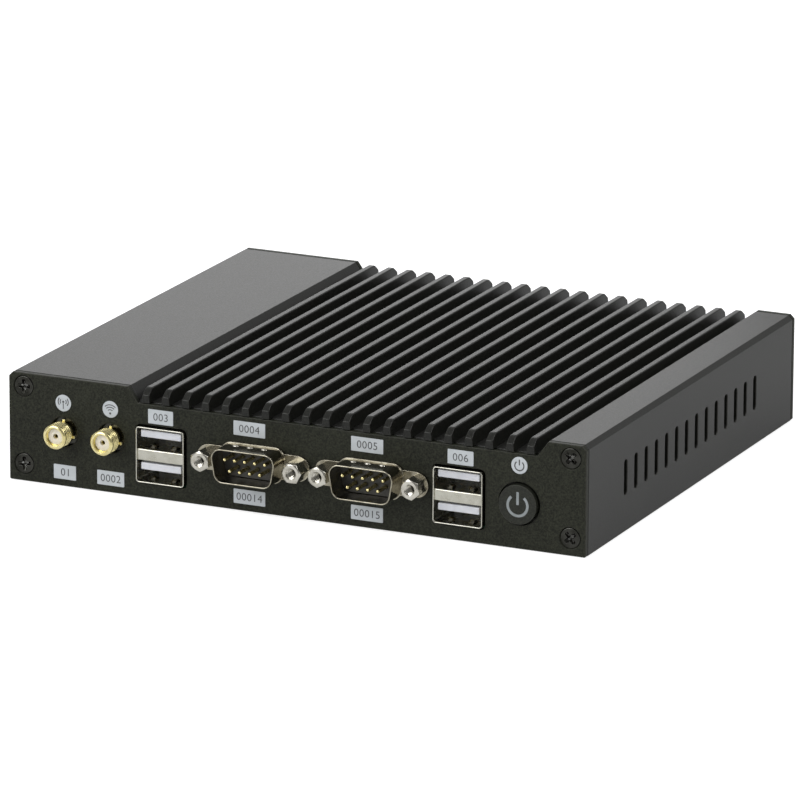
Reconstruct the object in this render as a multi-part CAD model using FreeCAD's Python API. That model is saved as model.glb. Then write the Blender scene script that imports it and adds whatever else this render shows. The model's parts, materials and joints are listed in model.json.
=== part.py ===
"""Fanless industrial computer: a finned aluminium case with its board, ports and cards.

Every shape is drawn in case coordinates: X runs right from the left side, Y runs back
from the front panel's face, and Z runs up from the surface that the case stands on.
save() then moves the origin to the middle of the footprint. All sizes are in millimetres.
"""
import FreeCAD, Part
import math
import os

from FreeCAD import Vector

# General clearances, the reach of cutting shapes past a face, and the edge finder's tolerance
FIT_GAP = 0.05
LOOSE_GAP = 0.15
CUTOUT_GAP = 0.45
CUT_MARGIN = 1.0
TOUCH = 1e-6

# Case profile
PANEL_THICKNESS = 1.5
SIDE_WALL = 2.2
ROOF_THICKNESS = 2.4
SHOULDER_THICKNESS = 3.0
EDGE_BEVEL = 1.1
PANEL_FOOT_RADIUS = 0.6
PANEL_EDGE_BREAK = 0.2
LEFT_SHOULDER = 33.2
RIGHT_SHOULDER = 10.1
ROOF_TO_PORT_GAP = 3.7
SLOPE_RUN = 2.6
INNER_SLOPE_SHIFT = 2.0
PANEL_DIP_GAP = 0.3

# Cooling fins
FIN_HEIGHT = 3.6
FIN_TOP = 1.67
FIN_BASE = 2.17
FIN_PITCH = 5.48
FIN_INSET_LEFT = 4.1
FIN_INSET_RIGHT = 3.5
FIN_BEVEL_RUN = 1.9
FIN_BEVEL_DROP = 1.6

# Ventilation slots in the right wall
SLOT_WIDTH = 2.0
SLOT_BOTTOM = 9.35
SLOT_TOP = 18.4
SLOT_PITCH = 6.435
SLOT_FRONT_MARGIN = 24.6
SLOT_REAR_MARGIN = 26.5

# Screw rails inside the case, and the countersunk M3 screws
LOWER_RAIL_WIDTH = 6.4
LOWER_RAIL_HEIGHT = 6.4
UPPER_RAIL_WIDTH = 5.4
UPPER_RAIL_HEIGHT = 4.0
SCREW_RADIUS = 1.5
SCREW_HEAD_RADIUS = 2.8
SCREW_HEAD_LIP = 0.2
SCREW_LENGTH = 8.0
SCREW_HOLE_DEPTH = 10.0
SCREW_SIDE_INSET = 4.1
SCREW_TOP_INSET = 3.45
SCREW_BOTTOM_INSET = 4.45
RECESS_SPAN = 3.3
RECESS_WIDTH = 0.85
RECESS_DEPTH = 1.25
FRONT_SCREW_TURNS = (4, 0, 40, 48)
REAR_SCREW_TURNS = (10, 25, 60, 75)
COVER_SCREW_TURN = 30

# Recess and edge of the small pan head screws
PAN_EDGE_ROUND = 0.25
PAN_RECESS_SPAN = 2.6
PAN_RECESS_WIDTH = 0.65
PAN_RECESS_DEPTH = 0.5

# Bottom cover
COVER_THICKNESS = 1.4
COVER_SCREW_INSET = 5.6
COVER_SCREW_FROM_END = 26.0
COVER_SCREW_LENGTH = 5.0
COVER_SCREW_TIP_GAP = 0.75

# Main board on its standoffs
BOARD_THICKNESS = 1.6
BOARD_LIFT = 0.9
BOARD_END_GAP = 0.4
BOARD_SIDE_GAP = 1.4
STANDOFF_RADIUS = 2.6
BOARD_SCREW_RADIUS = 1.25
BOARD_SCREW_HEAD_RADIUS = 2.3
BOARD_SCREW_HEAD_HEIGHT = 1.5
BOARD_SCREW_INSET = 4.5
BOARD_SCREW_TO_PORT = 1.2
BOARD_SCREW_FROM_REAR = 23.0

# Front row: the gaps between its pieces from left to right, and their heights
ANTENNA_FROM_LEFT = 15.25
ANTENNA_SPACING = 13.1
ANTENNA_TO_DATA_GAP = 3.3
DATA_TO_SERIAL_GAP = 3.7
SERIAL_TO_SERIAL_GAP = 1.2
SERIAL_TO_DATA_GAP = 1.15
DATA_TO_BUTTON_GAP = 2.5
BUTTON_FROM_RIGHT = 17.6
ANTENNA_HEIGHT = 14.0
SERIAL_HEIGHT = 12.9
BUTTON_HEIGHT = 11.45

# Antenna jack
JACK_RADIUS = 3.175
JACK_REACH = 5.4
JACK_CHAMFER = 0.4
JACK_SHOULDER = 1.2
JACK_NECK_RADIUS = 2.75
JACK_BORE_RADIUS = 2.3
JACK_SOCKET_RADIUS = 2.05
JACK_INSULATOR_RECESS = 1.0
JACK_BLOCK_HALF = 4.0
JACK_BLOCK_DEPTH = 7.0
JACK_PANEL_RADIUS = 3.8
JACK_HOLE_CHAMFER = 0.3
RING_THICKNESS = 0.5
RING_RADIUS = 3.05
RING_LUG_RADIUS = 3.7
RING_LUG_WIDTH = 0.7
RING_LUG_ANGLE = 79.0
CONTACT_RADIUS = 0.65
CONTACT_BORE_RADIUS = 0.45
CONTACT_RECESS = 1.6

# Stacked data port
DATA_WIDTH = 13.3
DATA_HEIGHT = 14.4
DATA_REACH = 0.8
DATA_DEPTH = 17.3
DATA_WALL = 0.4
DATA_CORNER = 0.9
DATA_DIVIDER_HEIGHT = 2.6
DATA_DIVIDER_CENTRE = 7.0
DATA_DIVIDER_SETBACK = 0.5
DATA_SHEET = 0.35
DATA_BLOCK_DEPTH = 4.8
DATA_TONGUE_WIDTH = 11.1
DATA_TONGUE_THICKNESS = 1.8
DATA_TONGUE_SETBACK = 0.85
DATA_TONGUE_GAP = 0.6
DATA_CONTACT_WIDTH = 1.0
DATA_CONTACT_THICKNESS = 0.25
DATA_CONTACT_SETBACK = 1.1
DATA_CONTACT_OFFSETS = (-3.5, -1.0, 1.0, 3.5)
DATA_LOWER_BEND = 1.4
DATA_UPPER_BEND = 1.8
DATA_SPRING_START = 1.0
DATA_SPRING_PEAK = 2.8
DATA_SPRING_END = 5.0
DATA_SPRING_OFFSET = 2.9
DATA_SPRING_WIDTH = 1.3
DATA_SPRING_RISE = 0.7

# Serial connector, nine pins
SERIAL_REACH = 7.0
SERIAL_WIDTH = 17.4
SERIAL_OPENING_HEIGHT = 8.75
SERIAL_WALL = 0.45
SERIAL_CORNER = 2.6
SERIAL_SIDE_ANGLE = 10.0
SERIAL_ROOT_FILLET = 0.5
FLANGE_THICKNESS = 0.8
FLANGE_PAST_SCREW = 2.9
FLANGE_LOBE_RADIUS = 3.3
FLANGE_BORDER = 0.9
SERIAL_NUT_GAP = 0.3
SERIAL_BLOCK_DEPTH = 8.0
SERIAL_BLOCK_RISE = 5.0
SERIAL_FLOOR_STEP = 0.2
PIN_RADIUS = 0.5
PIN_PITCH = 2.74
PIN_ROW_HALF = 1.42
PIN_RECESS = 1.1
PIN_TAIL = 0.5
UPPER_PIN_BEND = 7.6
LOWER_PIN_BEND = 4.9
DIMPLE_PITCH = 3.9
DIMPLE_FROM_PANEL = 2.45
DIMPLE_RADIUS = 0.45
DIMPLE_LENGTH = 0.9
DIMPLE_RISE = 0.22
JACKSCREW_SPACING = 25.0
JACKSCREW_ACROSS = 4.8
JACKSCREW_TURNS = (92, 2, 90, 100)
JACKSCREW_LENGTH = 4.8
JACKSCREW_RADIUS = 1.42
JACKSCREW_BORE_RADIUS = 1.1
JACKSCREW_BORE_DEPTH = 4.4
JACKSCREW_MOUTH_CHAMFER = 0.35
JACKSCREW_SHANK = 4.6
JACKNUT_ACROSS = 6.35
JACKNUT_THICKNESS = 2.2

# Power button
BUTTON_HOLE_RADIUS = 5.4
BUTTON_HOLE_CHAMFER = 0.25
CAP_RADIUS = 5.0
CAP_REACH = 1.1
CAP_LENGTH = 6.3
CAP_CHAMFER = 0.3
CAP_WALL = 1.1
CAP_FACE_THICKNESS = 2.0
CAP_FLANGE_RADIUS = 5.9
CAP_FLANGE_THICKNESS = 1.2
CAP_STEM_RADIUS = 1.2
BUTTON_TRAVEL = 1.2
BUTTON_BODY_RADIUS = 7.0
BUTTON_BODY_LENGTH = 10.0
BUTTON_FLOOR = 2.0
BRIDGE_RADIUS = 2.6
BRIDGE_THICKNESS = 0.4
TERMINAL_RADIUS = 0.6
TERMINAL_OFFSET = 1.8
TERMINAL_TAIL = 3.0
CONTACT_LIMIT_GAP = 0.1
SPRING_MEAN_RADIUS = 3.3
SPRING_WIRE_RADIUS = 0.28
SPRING_TURNS = 5
ICON_RADIUS = 3.0
ICON_LINE = 0.75
ICON_DEPTH = 0.15
ICON_GAP_ANGLE = 38.0
ICON_BAR_TOP = 3.45
ICON_BAR_BOTTOM = 0.1
ICON_BAR_ROUND = 0.2
ICON_DROP = 0.2

# Labels on the front panel
LABEL_THICKNESS = 0.1
LABEL_HEIGHT = 3.7
LABEL_CORNER = 0.2
LABEL_LOW = 1.8
LABEL_DIP_GAP = 1.1
LABEL_DISC_RADIUS = 2.25
ANTENNA_DISC_DROP = 2.55
BUTTON_DISC_DROP = 2.95
ANTENNA_LABEL_WIDTHS = (6.2, 7.5)
ANTENNA_LABEL_SHIFTS = (0.3, 0.0)
DATA_LABEL_WIDTH = 6.9
SERIAL_LABEL_WIDTH = 8.65
SERIAL_LABEL_SHIFT = -1.35

# Power inlet, video socket, network sockets and sound socket in the rear panel
REAR_REACH = 0.4
INLET_FROM_LEFT = 22.0
INLET_WIDTH = 9.0
INLET_HEIGHT = 11.0
INLET_DEPTH = 14.0
INLET_BORE_RADIUS = 3.1
INLET_BORE_DEPTH = 10.0
INLET_PIN_RADIUS = 1.05
INLET_ROOT_RADIUS = 1.4
INLET_PIN_LENGTH = 9.2
INLET_PIN_TAPER = 0.5
INLET_TO_VIDEO_GAP = 8.0
VIDEO_WIDTH = 15.0
VIDEO_HEIGHT = 5.6
VIDEO_CORNER_CUT = 1.5
VIDEO_DEPTH = 11.5
VIDEO_WALL = 0.4
VIDEO_BLOCK_DEPTH = 3.5
VIDEO_TONGUE_WIDTH = 11.2
VIDEO_TONGUE_THICKNESS = 1.0
VIDEO_TONGUE_SETBACK = 1.0
VIDEO_TO_LAN_GAP = 12.55
LAN_TO_LAN_GAP = 3.1
LAN_WIDTH = 15.9
LAN_HEIGHT = 13.3
LAN_DEPTH = 16.0
LAN_WALL = 0.35
LAN_CAVITY_WIDTH = 11.8
LAN_CAVITY_HEIGHT = 6.9
LAN_CAVITY_LIFT = 3.6
LAN_CAVITY_DEPTH = 12.5
LAN_LATCH_WIDTH = 6.2
LAN_LATCH_HEIGHT = 1.3
LAN_WIRE = 0.4
LAN_WIRE_PITCH = 1.02
LAN_WIRE_DROP = 1.3
LAN_WIRE_COUNT = 8
LAN_WIRE_FROM_MOUTH = 3.0
LAN_TO_SOUND_GAP = 9.05
SOUND_WIDTH = 8.0
SOUND_HEIGHT = 7.0
SOUND_DEPTH = 13.0
SOUND_NOSE_RADIUS = 3.1
SOUND_BORE_RADIUS = 1.8
SOUND_BORE_DEPTH = 14.0

# Processor and the block that carries its heat to the roof
BLOCK_TO_MEMORY_GAP = 1.6
PROCESSOR_WIDTH = 27.0
PROCESSOR_LENGTH = 24.0
SUBSTRATE_THICKNESS = 1.2
LID_INSET = 3.0
LID_THICKNESS = 1.1
PAD_THICKNESS = 0.6
BLOCK_SIZE = 44.0
BLOCK_SCREW_INSET = 4.0
BLOCK_COUNTERBORE_RADIUS = 3.0
BLOCK_COUNTERBORE_DEPTH = 9.0
BLOCK_SCREW_ENTRY = 2.0
BLOCK_SCREW_HEAD_RADIUS = 2.75
BLOCK_SCREW_HEAD_HEIGHT = 2.6
BLOCK_SCREW_SOCKET_RADIUS = 1.2
BLOCK_SCREW_RECESS = 1.4

# Memory module lying in its socket
MEMORY_TO_BOARD_EDGE = 0.5
MEMORY_TO_SCREW_GAP = 1.2
MEMORY_LENGTH = 67.2
MEMORY_WIDTH = 29.5
MEMORY_LIFT = 2.3
MEMORY_CHIP_THICKNESS = 1.1
MEMORY_CHIP_GAP = 4.8
MEMORY_CHIP_WIDTH = 9.0
MEMORY_CHIP_FROM_EDGE = 7.2
MEMORY_CHIP_COUNT = 4
CARD_BOARD_THICKNESS = 1.0
SOCKET_HEIGHT = 4.2
SOCKET_DEPTH = 5.6
SOCKET_GRIP = 2.2
SOCKET_ARM_LENGTH = 22.0
SOCKET_ARM_WIDTH = 2.5

# Storage card and wireless card, each with a socket, a standoff and a screw
STORAGE_TO_BOARD_EDGE = 2.5
STORAGE_TO_SCREW_GAP = 2.3
STORAGE_LENGTH = 80.0
STORAGE_TO_INLET_GAP = 10.7
WIRELESS_TO_STORAGE_GAP = 0.6
WIRELESS_SETBACK = 4.0
WIRELESS_LENGTH = 30.0
CARD_WIDTH = 22.0
CARD_LIFT = 2.3
CARD_CHIP_THICKNESS = 1.2
CARD_CHIP_INSET = 2.5
CARD_SOCKET_MARGIN = 1.2
CARD_CHIP_FIRST = 8.0
CARD_CHIP_GAP = 5.0
CARD_CHIP_LAST = 10.0
STORAGE_CHIP_COUNT = 3
WIRELESS_CHIP_COUNT = 1
CARD_NOTCH_RADIUS = 1.6
CARD_POST_RADIUS = 2.7
CARD_SCREW_HEAD_RADIUS = 2.2
CARD_SCREW_HEAD_HEIGHT = 0.9

# Clock cell in its holder
CELL_TO_WIRELESS_GAP = 3.0
CELL_RADIUS = 10.0
CELL_THICKNESS = 3.2
HOLDER_WALL = 1.3
HOLDER_FLOOR = 0.9
HOLDER_RIM = 2.6
HOLDER_NOTCH_WIDTH = 8.0
CELL_BEVEL = 0.5

# Small parts on the board
COIL_SIZE = 7.0
COIL_HEIGHT = 4.0
COIL_COUNT = 4
COIL_PITCH = 10.0
COIL_FROM_BLOCK = 4.0
CAPACITOR_RADIUS = 3.15
CAPACITOR_HEIGHT = 5.8
CAPACITOR_COUNT = 5
CAPACITOR_PITCH = 9.0
CAPACITOR_FROM_BLOCK = 6.0
CAPACITOR_INSET = 0.85
CHIP_HEIGHT = 1.1
CHIP_SIZE = 8.0
CHIP_FROM_PORT = 1.5

# Values that follow from the sizes above
BOARD_BOTTOM = COVER_THICKNESS + BOARD_LIFT
BOARD_TOP = BOARD_BOTTOM + BOARD_THICKNESS
DATA_TOP = BOARD_TOP + DATA_HEIGHT
DATA_BACK = DATA_DEPTH - DATA_REACH
ROOF_UNDERSIDE = DATA_TOP + ROOF_TO_PORT_GAP
FIN_FLOOR = ROOF_UNDERSIDE + ROOF_THICKNESS
HEIGHT = FIN_FLOOR + FIN_HEIGHT
SHOULDER_UNDERSIDE = HEIGHT - SHOULDER_THICKNESS
PANEL_DIP = FIN_FLOOR - PANEL_DIP_GAP
LABEL_HIGH = PANEL_DIP - LABEL_DIP_GAP - LABEL_HEIGHT

# The front row sets the width of the case
ANTENNA_XS = (ANTENNA_FROM_LEFT, ANTENNA_FROM_LEFT + ANTENNA_SPACING)
DATA_LEFT_X = ANTENNA_XS[1] + JACK_BLOCK_HALF + ANTENNA_TO_DATA_GAP + DATA_WIDTH / 2
FLANGE_LENGTH = JACKSCREW_SPACING + 2 * FLANGE_PAST_SCREW
SERIAL_LEFT_X = DATA_LEFT_X + DATA_WIDTH / 2 + DATA_TO_SERIAL_GAP + FLANGE_LENGTH / 2
SERIAL_RIGHT_X = SERIAL_LEFT_X + FLANGE_LENGTH + SERIAL_TO_SERIAL_GAP
DATA_RIGHT_X = SERIAL_RIGHT_X + FLANGE_LENGTH / 2 + SERIAL_TO_DATA_GAP + DATA_WIDTH / 2
DATA_XS = (DATA_LEFT_X, DATA_RIGHT_X)
SERIAL_XS = (SERIAL_LEFT_X, SERIAL_RIGHT_X)
JACKSCREW_XS = [x + side * JACKSCREW_SPACING / 2 for x in SERIAL_XS for side in (-1, 1)]
BUTTON_X = DATA_RIGHT_X + DATA_WIDTH / 2 + DATA_TO_BUTTON_GAP + BUTTON_BODY_RADIUS
WIDTH = BUTTON_X + BUTTON_FROM_RIGHT

# The storage card's row, from the front panel to the power inlet, sets the depth
BOARD_LEFT = SIDE_WALL + LOWER_RAIL_WIDTH + BOARD_SIDE_GAP
BOARD_RIGHT = WIDTH - BOARD_LEFT
BOARD_FRONT = PANEL_THICKNESS + BOARD_END_GAP
BOARD_SCREW_FRONT = DATA_BACK + BOARD_SCREW_TO_PORT + BOARD_SCREW_HEAD_RADIUS
FRONT_SCREW_BACK = BOARD_SCREW_FRONT + BOARD_SCREW_HEAD_RADIUS
SOCKET_AHEAD = SOCKET_DEPTH - SOCKET_GRIP
STORAGE_FROM_FRONT = FRONT_SCREW_BACK + STORAGE_TO_SCREW_GAP + SOCKET_AHEAD
STORAGE_REAR = STORAGE_FROM_FRONT + STORAGE_LENGTH + CARD_POST_RADIUS
REAR_FACE = STORAGE_REAR + STORAGE_TO_INLET_GAP + INLET_DEPTH
DEPTH = REAR_FACE - REAR_REACH
BOARD_REAR = DEPTH - BOARD_FRONT

# The rear row, from the left
VIDEO_X = INLET_FROM_LEFT + INLET_WIDTH / 2 + INLET_TO_VIDEO_GAP + VIDEO_WIDTH / 2
LAN_LEFT_X = VIDEO_X + VIDEO_WIDTH / 2 + VIDEO_TO_LAN_GAP + LAN_WIDTH / 2
LAN_XS = (LAN_LEFT_X, LAN_LEFT_X + LAN_WIDTH + LAN_TO_LAN_GAP)
SOUND_X = LAN_XS[1] + LAN_WIDTH / 2 + LAN_TO_SOUND_GAP + SOUND_WIDTH / 2

# Places on the board: the cards from its left edge, the memory and the heat block from its right
STORAGE_X = BOARD_LEFT + STORAGE_TO_BOARD_EDGE + CARD_WIDTH / 2
WIRELESS_X = STORAGE_X + CARD_WIDTH + 2 * CARD_SOCKET_MARGIN + WIRELESS_TO_STORAGE_GAP
WIRELESS_FROM_FRONT = STORAGE_FROM_FRONT + WIRELESS_SETBACK
MEMORY_X = BOARD_RIGHT - MEMORY_TO_BOARD_EDGE - MEMORY_WIDTH
MEMORY_FROM_FRONT = FRONT_SCREW_BACK + MEMORY_TO_SCREW_GAP + SOCKET_ARM_WIDTH + FIT_GAP
BLOCK_RIGHT = MEMORY_X + SOCKET_GRIP - SOCKET_DEPTH - BLOCK_TO_MEMORY_GAP
BLOCK_LEFT = BLOCK_RIGHT - BLOCK_SIZE
PROCESSOR_X = BLOCK_RIGHT - BLOCK_SIZE / 2
CAPACITOR_ROW = 2 * CAPACITOR_RADIUS + CAPACITOR_FROM_BLOCK
COIL_ROW = COIL_SIZE + COIL_FROM_BLOCK
SERIAL_CHIP_FRONT = BOARD_FRONT + SERIAL_BLOCK_DEPTH + CHIP_FROM_PORT
LAN_CHIP_REAR = REAR_FACE - LAN_DEPTH - CHIP_FROM_PORT
BLOCK_FIELD_FRONT = SERIAL_CHIP_FRONT + CHIP_SIZE + CAPACITOR_ROW
BLOCK_FIELD_REAR = LAN_CHIP_REAR - CHIP_SIZE - COIL_ROW
PROCESSOR_Y = (BLOCK_FIELD_FRONT + BLOCK_FIELD_REAR) / 2
CELL_X = (STORAGE_X + CARD_WIDTH / 2 + BLOCK_LEFT) / 2
HOLDER_RADIUS = CELL_RADIUS + LOOSE_GAP + HOLDER_WALL
WIRELESS_REAR = WIRELESS_FROM_FRONT + WIRELESS_LENGTH + CARD_POST_RADIUS
CELL_Y = WIRELESS_REAR + CELL_TO_WIRELESS_GAP + HOLDER_RADIUS
BOARD_SCREW_MIDDLE = (SERIAL_LEFT_X - CHIP_SIZE / 2 + DATA_LEFT_X + DATA_WIDTH / 2) / 2

PIN_FOOT = BOARD_BOTTOM - PIN_TAIL
CARD_Z = BOARD_TOP + CARD_LIFT
BLOCK_BOTTOM = BOARD_TOP + SUBSTRATE_THICKNESS + LID_THICKNESS + PAD_THICKNESS


def box(x0, x1, y0, y1, z0, z1):
    """A block between two opposite corners."""
    return Part.makeBox(x1 - x0, y1 - y0, z1 - z0, Vector(x0, y0, z0))


def rod_y(x, z, radius, y0, y1):
    """A round bar that runs front to back."""
    return Part.makeCylinder(radius, y1 - y0, Vector(x, y0, z), Vector(0, 1, 0))


def rod_z(x, y, radius, z0, z1):
    """A round bar that stands upright."""
    return Part.makeCylinder(radius, z1 - z0, Vector(x, y, z0), Vector(0, 0, 1))


def cone_y(x, z, front_radius, rear_radius, y0, y1):
    """A tapered bar that runs front to back."""
    return Part.makeCone(front_radius, rear_radius, y1 - y0, Vector(x, y0, z), Vector(0, 1, 0))


def cone_z(x, y, low_radius, high_radius, z0, z1):
    """A tapered bar that stands upright."""
    return Part.makeCone(low_radius, high_radius, z1 - z0, Vector(x, y, z0), Vector(0, 0, 1))


def fuse(shapes):
    """One solid from shapes that touch or overlap."""
    return shapes[0].multiFuse(list(shapes[1:])).removeSplitter()


def cut(base, tools):
    """The base without the tools."""
    return base.cut(list(tools)).removeSplitter()


def rounded_face(points, radii, y):
    """A face in an XZ plane: a polygon of (x, z) points whose corners are rounded."""
    edges = []
    starts = []
    ends = []
    for index, point in enumerate(points):
        corner = Vector(point[0], y, point[1])
        before = Vector(points[index - 1][0], y, points[index - 1][1])
        after_point = points[(index + 1) % len(points)]
        after = Vector(after_point[0], y, after_point[1])
        to_before = (before - corner).normalize()
        to_after = (after - corner).normalize()
        half_angle = to_before.getAngle(to_after) / 2
        radius = radii[index]
        if radius > 0:
            reach = radius / math.tan(half_angle)
            start = corner + to_before * reach
            end = corner + to_after * reach
            inward = (to_before + to_after).normalize()
            middle = corner + inward * (radius / math.sin(half_angle) - radius)
            edges.append((index, Part.Arc(start, middle, end).toShape()))
        else:
            start = corner
            end = corner
        starts.append(start)
        ends.append(end)
    outline = []
    arcs = dict(edges)
    for index in range(len(points)):
        if index in arcs:
            outline.append(arcs[index])
        following = starts[(index + 1) % len(points)]
        outline.append(Part.LineSegment(ends[index], following).toShape())
    return Part.Face(Part.Wire(outline))


def prism_y(points, radii, y0, y1):
    """A rounded polygon of (x, z) points, drawn out from y0 to y1."""
    return rounded_face(points, radii, y0).extrude(Vector(0, y1 - y0, 0))


def round_block(x, z, width, height, radius, y0, y1):
    """A block that runs front to back, with four rounded long edges."""
    half_width = width / 2
    half_height = height / 2
    points = [(x - half_width, z - half_height), (x + half_width, z - half_height),
              (x + half_width, z + half_height), (x - half_width, z + half_height)]
    return prism_y(points, [radius] * 4, y0, y1)


def side_prism(points, x0, x1):
    """A polygon of (y, z) points, drawn out from x0 to x1."""
    corners = [Vector(x0, y, z) for y, z in points]
    outline = Part.makePolygon(corners + corners[:1])
    return Part.Face(outline).extrude(Vector(x1 - x0, 0, 0))


def hexagon_y(x, z, across, y0, y1, first_angle):
    """A hexagonal bar that runs front to back; the angle is that of its first corner."""
    radius = across / math.sqrt(3)
    angles = [math.radians(first_angle + 60 * step) for step in range(6)]
    points = [(x + radius * math.cos(angle), z + radius * math.sin(angle)) for angle in angles]
    return prism_y(points, [0] * len(points), y0, y1)


def d_outline(x, z, grow):
    """Corners of the D shaped serial opening, wider at its top, grown by a border."""
    lean = math.tan(math.radians(SERIAL_SIDE_ANGLE))
    half_height = SERIAL_OPENING_HEIGHT / 2 + grow
    half_top = SERIAL_WIDTH / 2 + grow
    half_bottom = half_top - 2 * half_height * lean
    return [(x - half_bottom, z - half_height), (x + half_bottom, z - half_height),
            (x + half_top, z + half_height), (x - half_top, z + half_height)]


def d_block(x, z, grow, y0, y1):
    """A D shaped bar that runs front to back."""
    return prism_y(d_outline(x, z, grow), [SERIAL_CORNER + grow] * 4, y0, y1)


def bent_pin(x, z, radius, tip_y, bend_y, foot_z):
    """A round pin with a domed tip that runs back and then down into the board."""
    straight = rod_y(x, z, radius, tip_y + radius, bend_y)
    drop = rod_z(x, bend_y, radius, foot_z, z)
    tip = Part.makeSphere(radius, Vector(x, tip_y + radius, z))
    elbow = Part.makeSphere(radius, Vector(x, bend_y, z))
    return fuse([straight, drop, tip, elbow])


def bent_strip(x, z_top, width, thickness, tip_y, bend_y, foot_z):
    """A flat spring contact that runs back and then down into the board."""
    flat = box(x - width / 2, x + width / 2, tip_y, bend_y, z_top - thickness, z_top)
    drop = box(x - width / 2, x + width / 2, bend_y - thickness, bend_y, foot_z, z_top)
    return fuse([flat, drop])


def rectangle(length, width, z):
    """The outline of a rectangle centred on the Z axis."""
    corners = [Vector(side * length / 2, end * width / 2, z)
               for side, end in ((-1, -1), (1, -1), (1, 1), (-1, 1), (-1, -1))]
    return Part.makePolygon(corners)


def cross_recess(turn, span, width, depth):
    """The cross shaped driver recess of a screw head whose face is at z 0, facing up."""
    arms = []
    for quarter in (0, 90):
        mouth = rectangle(span, width, 0)
        floor = rectangle(width, width / 2, -depth)
        arm = Part.makeLoft([mouth, floor], True, True)
        arm.rotate(Vector(0, 0, 0), Vector(0, 0, 1), turn + quarter)
        arms.append(arm)
    return arms[0].fuse(arms[1])


def countersunk_screw(length, turn):
    """A countersunk screw whose flat head faces up at z 0."""
    head_depth = SCREW_HEAD_RADIUS - SCREW_RADIUS
    lip = rod_z(0, 0, SCREW_HEAD_RADIUS, -SCREW_HEAD_LIP, 0)
    shank_radius = SCREW_RADIUS - FIT_GAP
    cone_bottom = -SCREW_HEAD_LIP - (SCREW_HEAD_RADIUS - shank_radius) * (1 - SCREW_HEAD_LIP / head_depth)
    cone = cone_z(0, 0, shank_radius, SCREW_HEAD_RADIUS, cone_bottom, -SCREW_HEAD_LIP)
    shank = rod_z(0, 0, shank_radius, -length, 0)
    screw = fuse([lip, cone, shank])
    return cut(screw, [cross_recess(turn, RECESS_SPAN, RECESS_WIDTH, RECESS_DEPTH)])


def countersink(depth):
    """The hole that a countersunk screw seats in, its mouth facing up at z 0."""
    head_depth = SCREW_HEAD_RADIUS - SCREW_RADIUS
    mouth_radius = SCREW_HEAD_RADIUS + FIT_GAP
    neck_radius = SCREW_RADIUS + FIT_GAP
    lip = rod_z(0, 0, mouth_radius, -SCREW_HEAD_LIP, 0)
    cone_bottom = -SCREW_HEAD_LIP - (mouth_radius - neck_radius) * (1 - SCREW_HEAD_LIP / head_depth)
    cone = cone_z(0, 0, neck_radius, mouth_radius, cone_bottom, -SCREW_HEAD_LIP)
    neck = rod_z(0, 0, neck_radius, -depth, 0)
    return fuse([lip, cone, neck])


def face_front(shape, x, y, z):
    """Turn a shape that faces up so that it faces the front, and place it."""
    turned = shape.copy()
    turned.rotate(Vector(0, 0, 0), Vector(1, 0, 0), 90)
    turned.translate(Vector(x, y, z))
    return turned


def face_rear(shape, x, y, z):
    """Turn a shape that faces up so that it faces the rear, and place it."""
    turned = shape.copy()
    turned.rotate(Vector(0, 0, 0), Vector(1, 0, 0), -90)
    turned.translate(Vector(x, y, z))
    return turned


def face_down(shape, x, y, z):
    """Turn a shape that faces up so that it faces down, and place it."""
    turned = shape.copy()
    turned.rotate(Vector(0, 0, 0), Vector(1, 0, 0), 180)
    turned.translate(Vector(x, y, z))
    return turned


def panel_screw_places():
    """The four (x, z) places of the screws in an end panel."""
    return [(x, z) for x in (SCREW_SIDE_INSET, WIDTH - SCREW_SIDE_INSET)
            for z in (SCREW_BOTTOM_INSET, HEIGHT - SCREW_TOP_INSET)]


def cover_screw_places():
    """The four (x, y) places of the screws in the bottom cover."""
    return [(x, y) for x in (COVER_SCREW_INSET, WIDTH - COVER_SCREW_INSET)
            for y in (COVER_SCREW_FROM_END, DEPTH - COVER_SCREW_FROM_END)]


def board_screw_places():
    """The six (x, y) places of the screws that hold the main board."""
    xs = (BOARD_LEFT + BOARD_SCREW_INSET, BOARD_SCREW_MIDDLE, BOARD_RIGHT - BOARD_SCREW_INSET)
    return [(x, y) for x in xs for y in (BOARD_SCREW_FRONT, DEPTH - BOARD_SCREW_FROM_REAR)]


def block_screw_places():
    """The four (x, y) places of the screws through the heat block."""
    offset = BLOCK_SIZE / 2 - BLOCK_SCREW_INSET
    return [(PROCESSOR_X + dx * offset, PROCESSOR_Y + dy * offset) for dx in (-1, 1) for dy in (-1, 1)]


def card_post_places():
    """The (x, y) places of the posts at the free ends of the two cards."""
    return [(STORAGE_X, STORAGE_FROM_FRONT + STORAGE_LENGTH),
            (WIRELESS_X, WIRELESS_FROM_FRONT + WIRELESS_LENGTH)]


def fin_positions():
    """The left top edge of each fin, as many as fit between the shoulders."""
    first = LEFT_SHOULDER + FIN_INSET_LEFT
    last = WIDTH - RIGHT_SHOULDER - FIN_INSET_RIGHT - FIN_TOP
    count = int((last - first) / FIN_PITCH) + 1
    return [first + FIN_PITCH * index for index in range(count)]


def slot_positions():
    """The middle of each ventilation slot, counted back from the front."""
    count = int((DEPTH - SLOT_REAR_MARGIN - SLOT_FRONT_MARGIN) / SLOT_PITCH) + 1
    return [SLOT_FRONT_MARGIN + SLOT_PITCH * index for index in range(count)]


def slope_x(side_x, direction, z):
    """Where the slope beside a shoulder lies at a height; it runs on below the fin floor."""
    return side_x + direction * SLOPE_RUN * (HEIGHT - z) / FIN_HEIGHT


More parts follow.
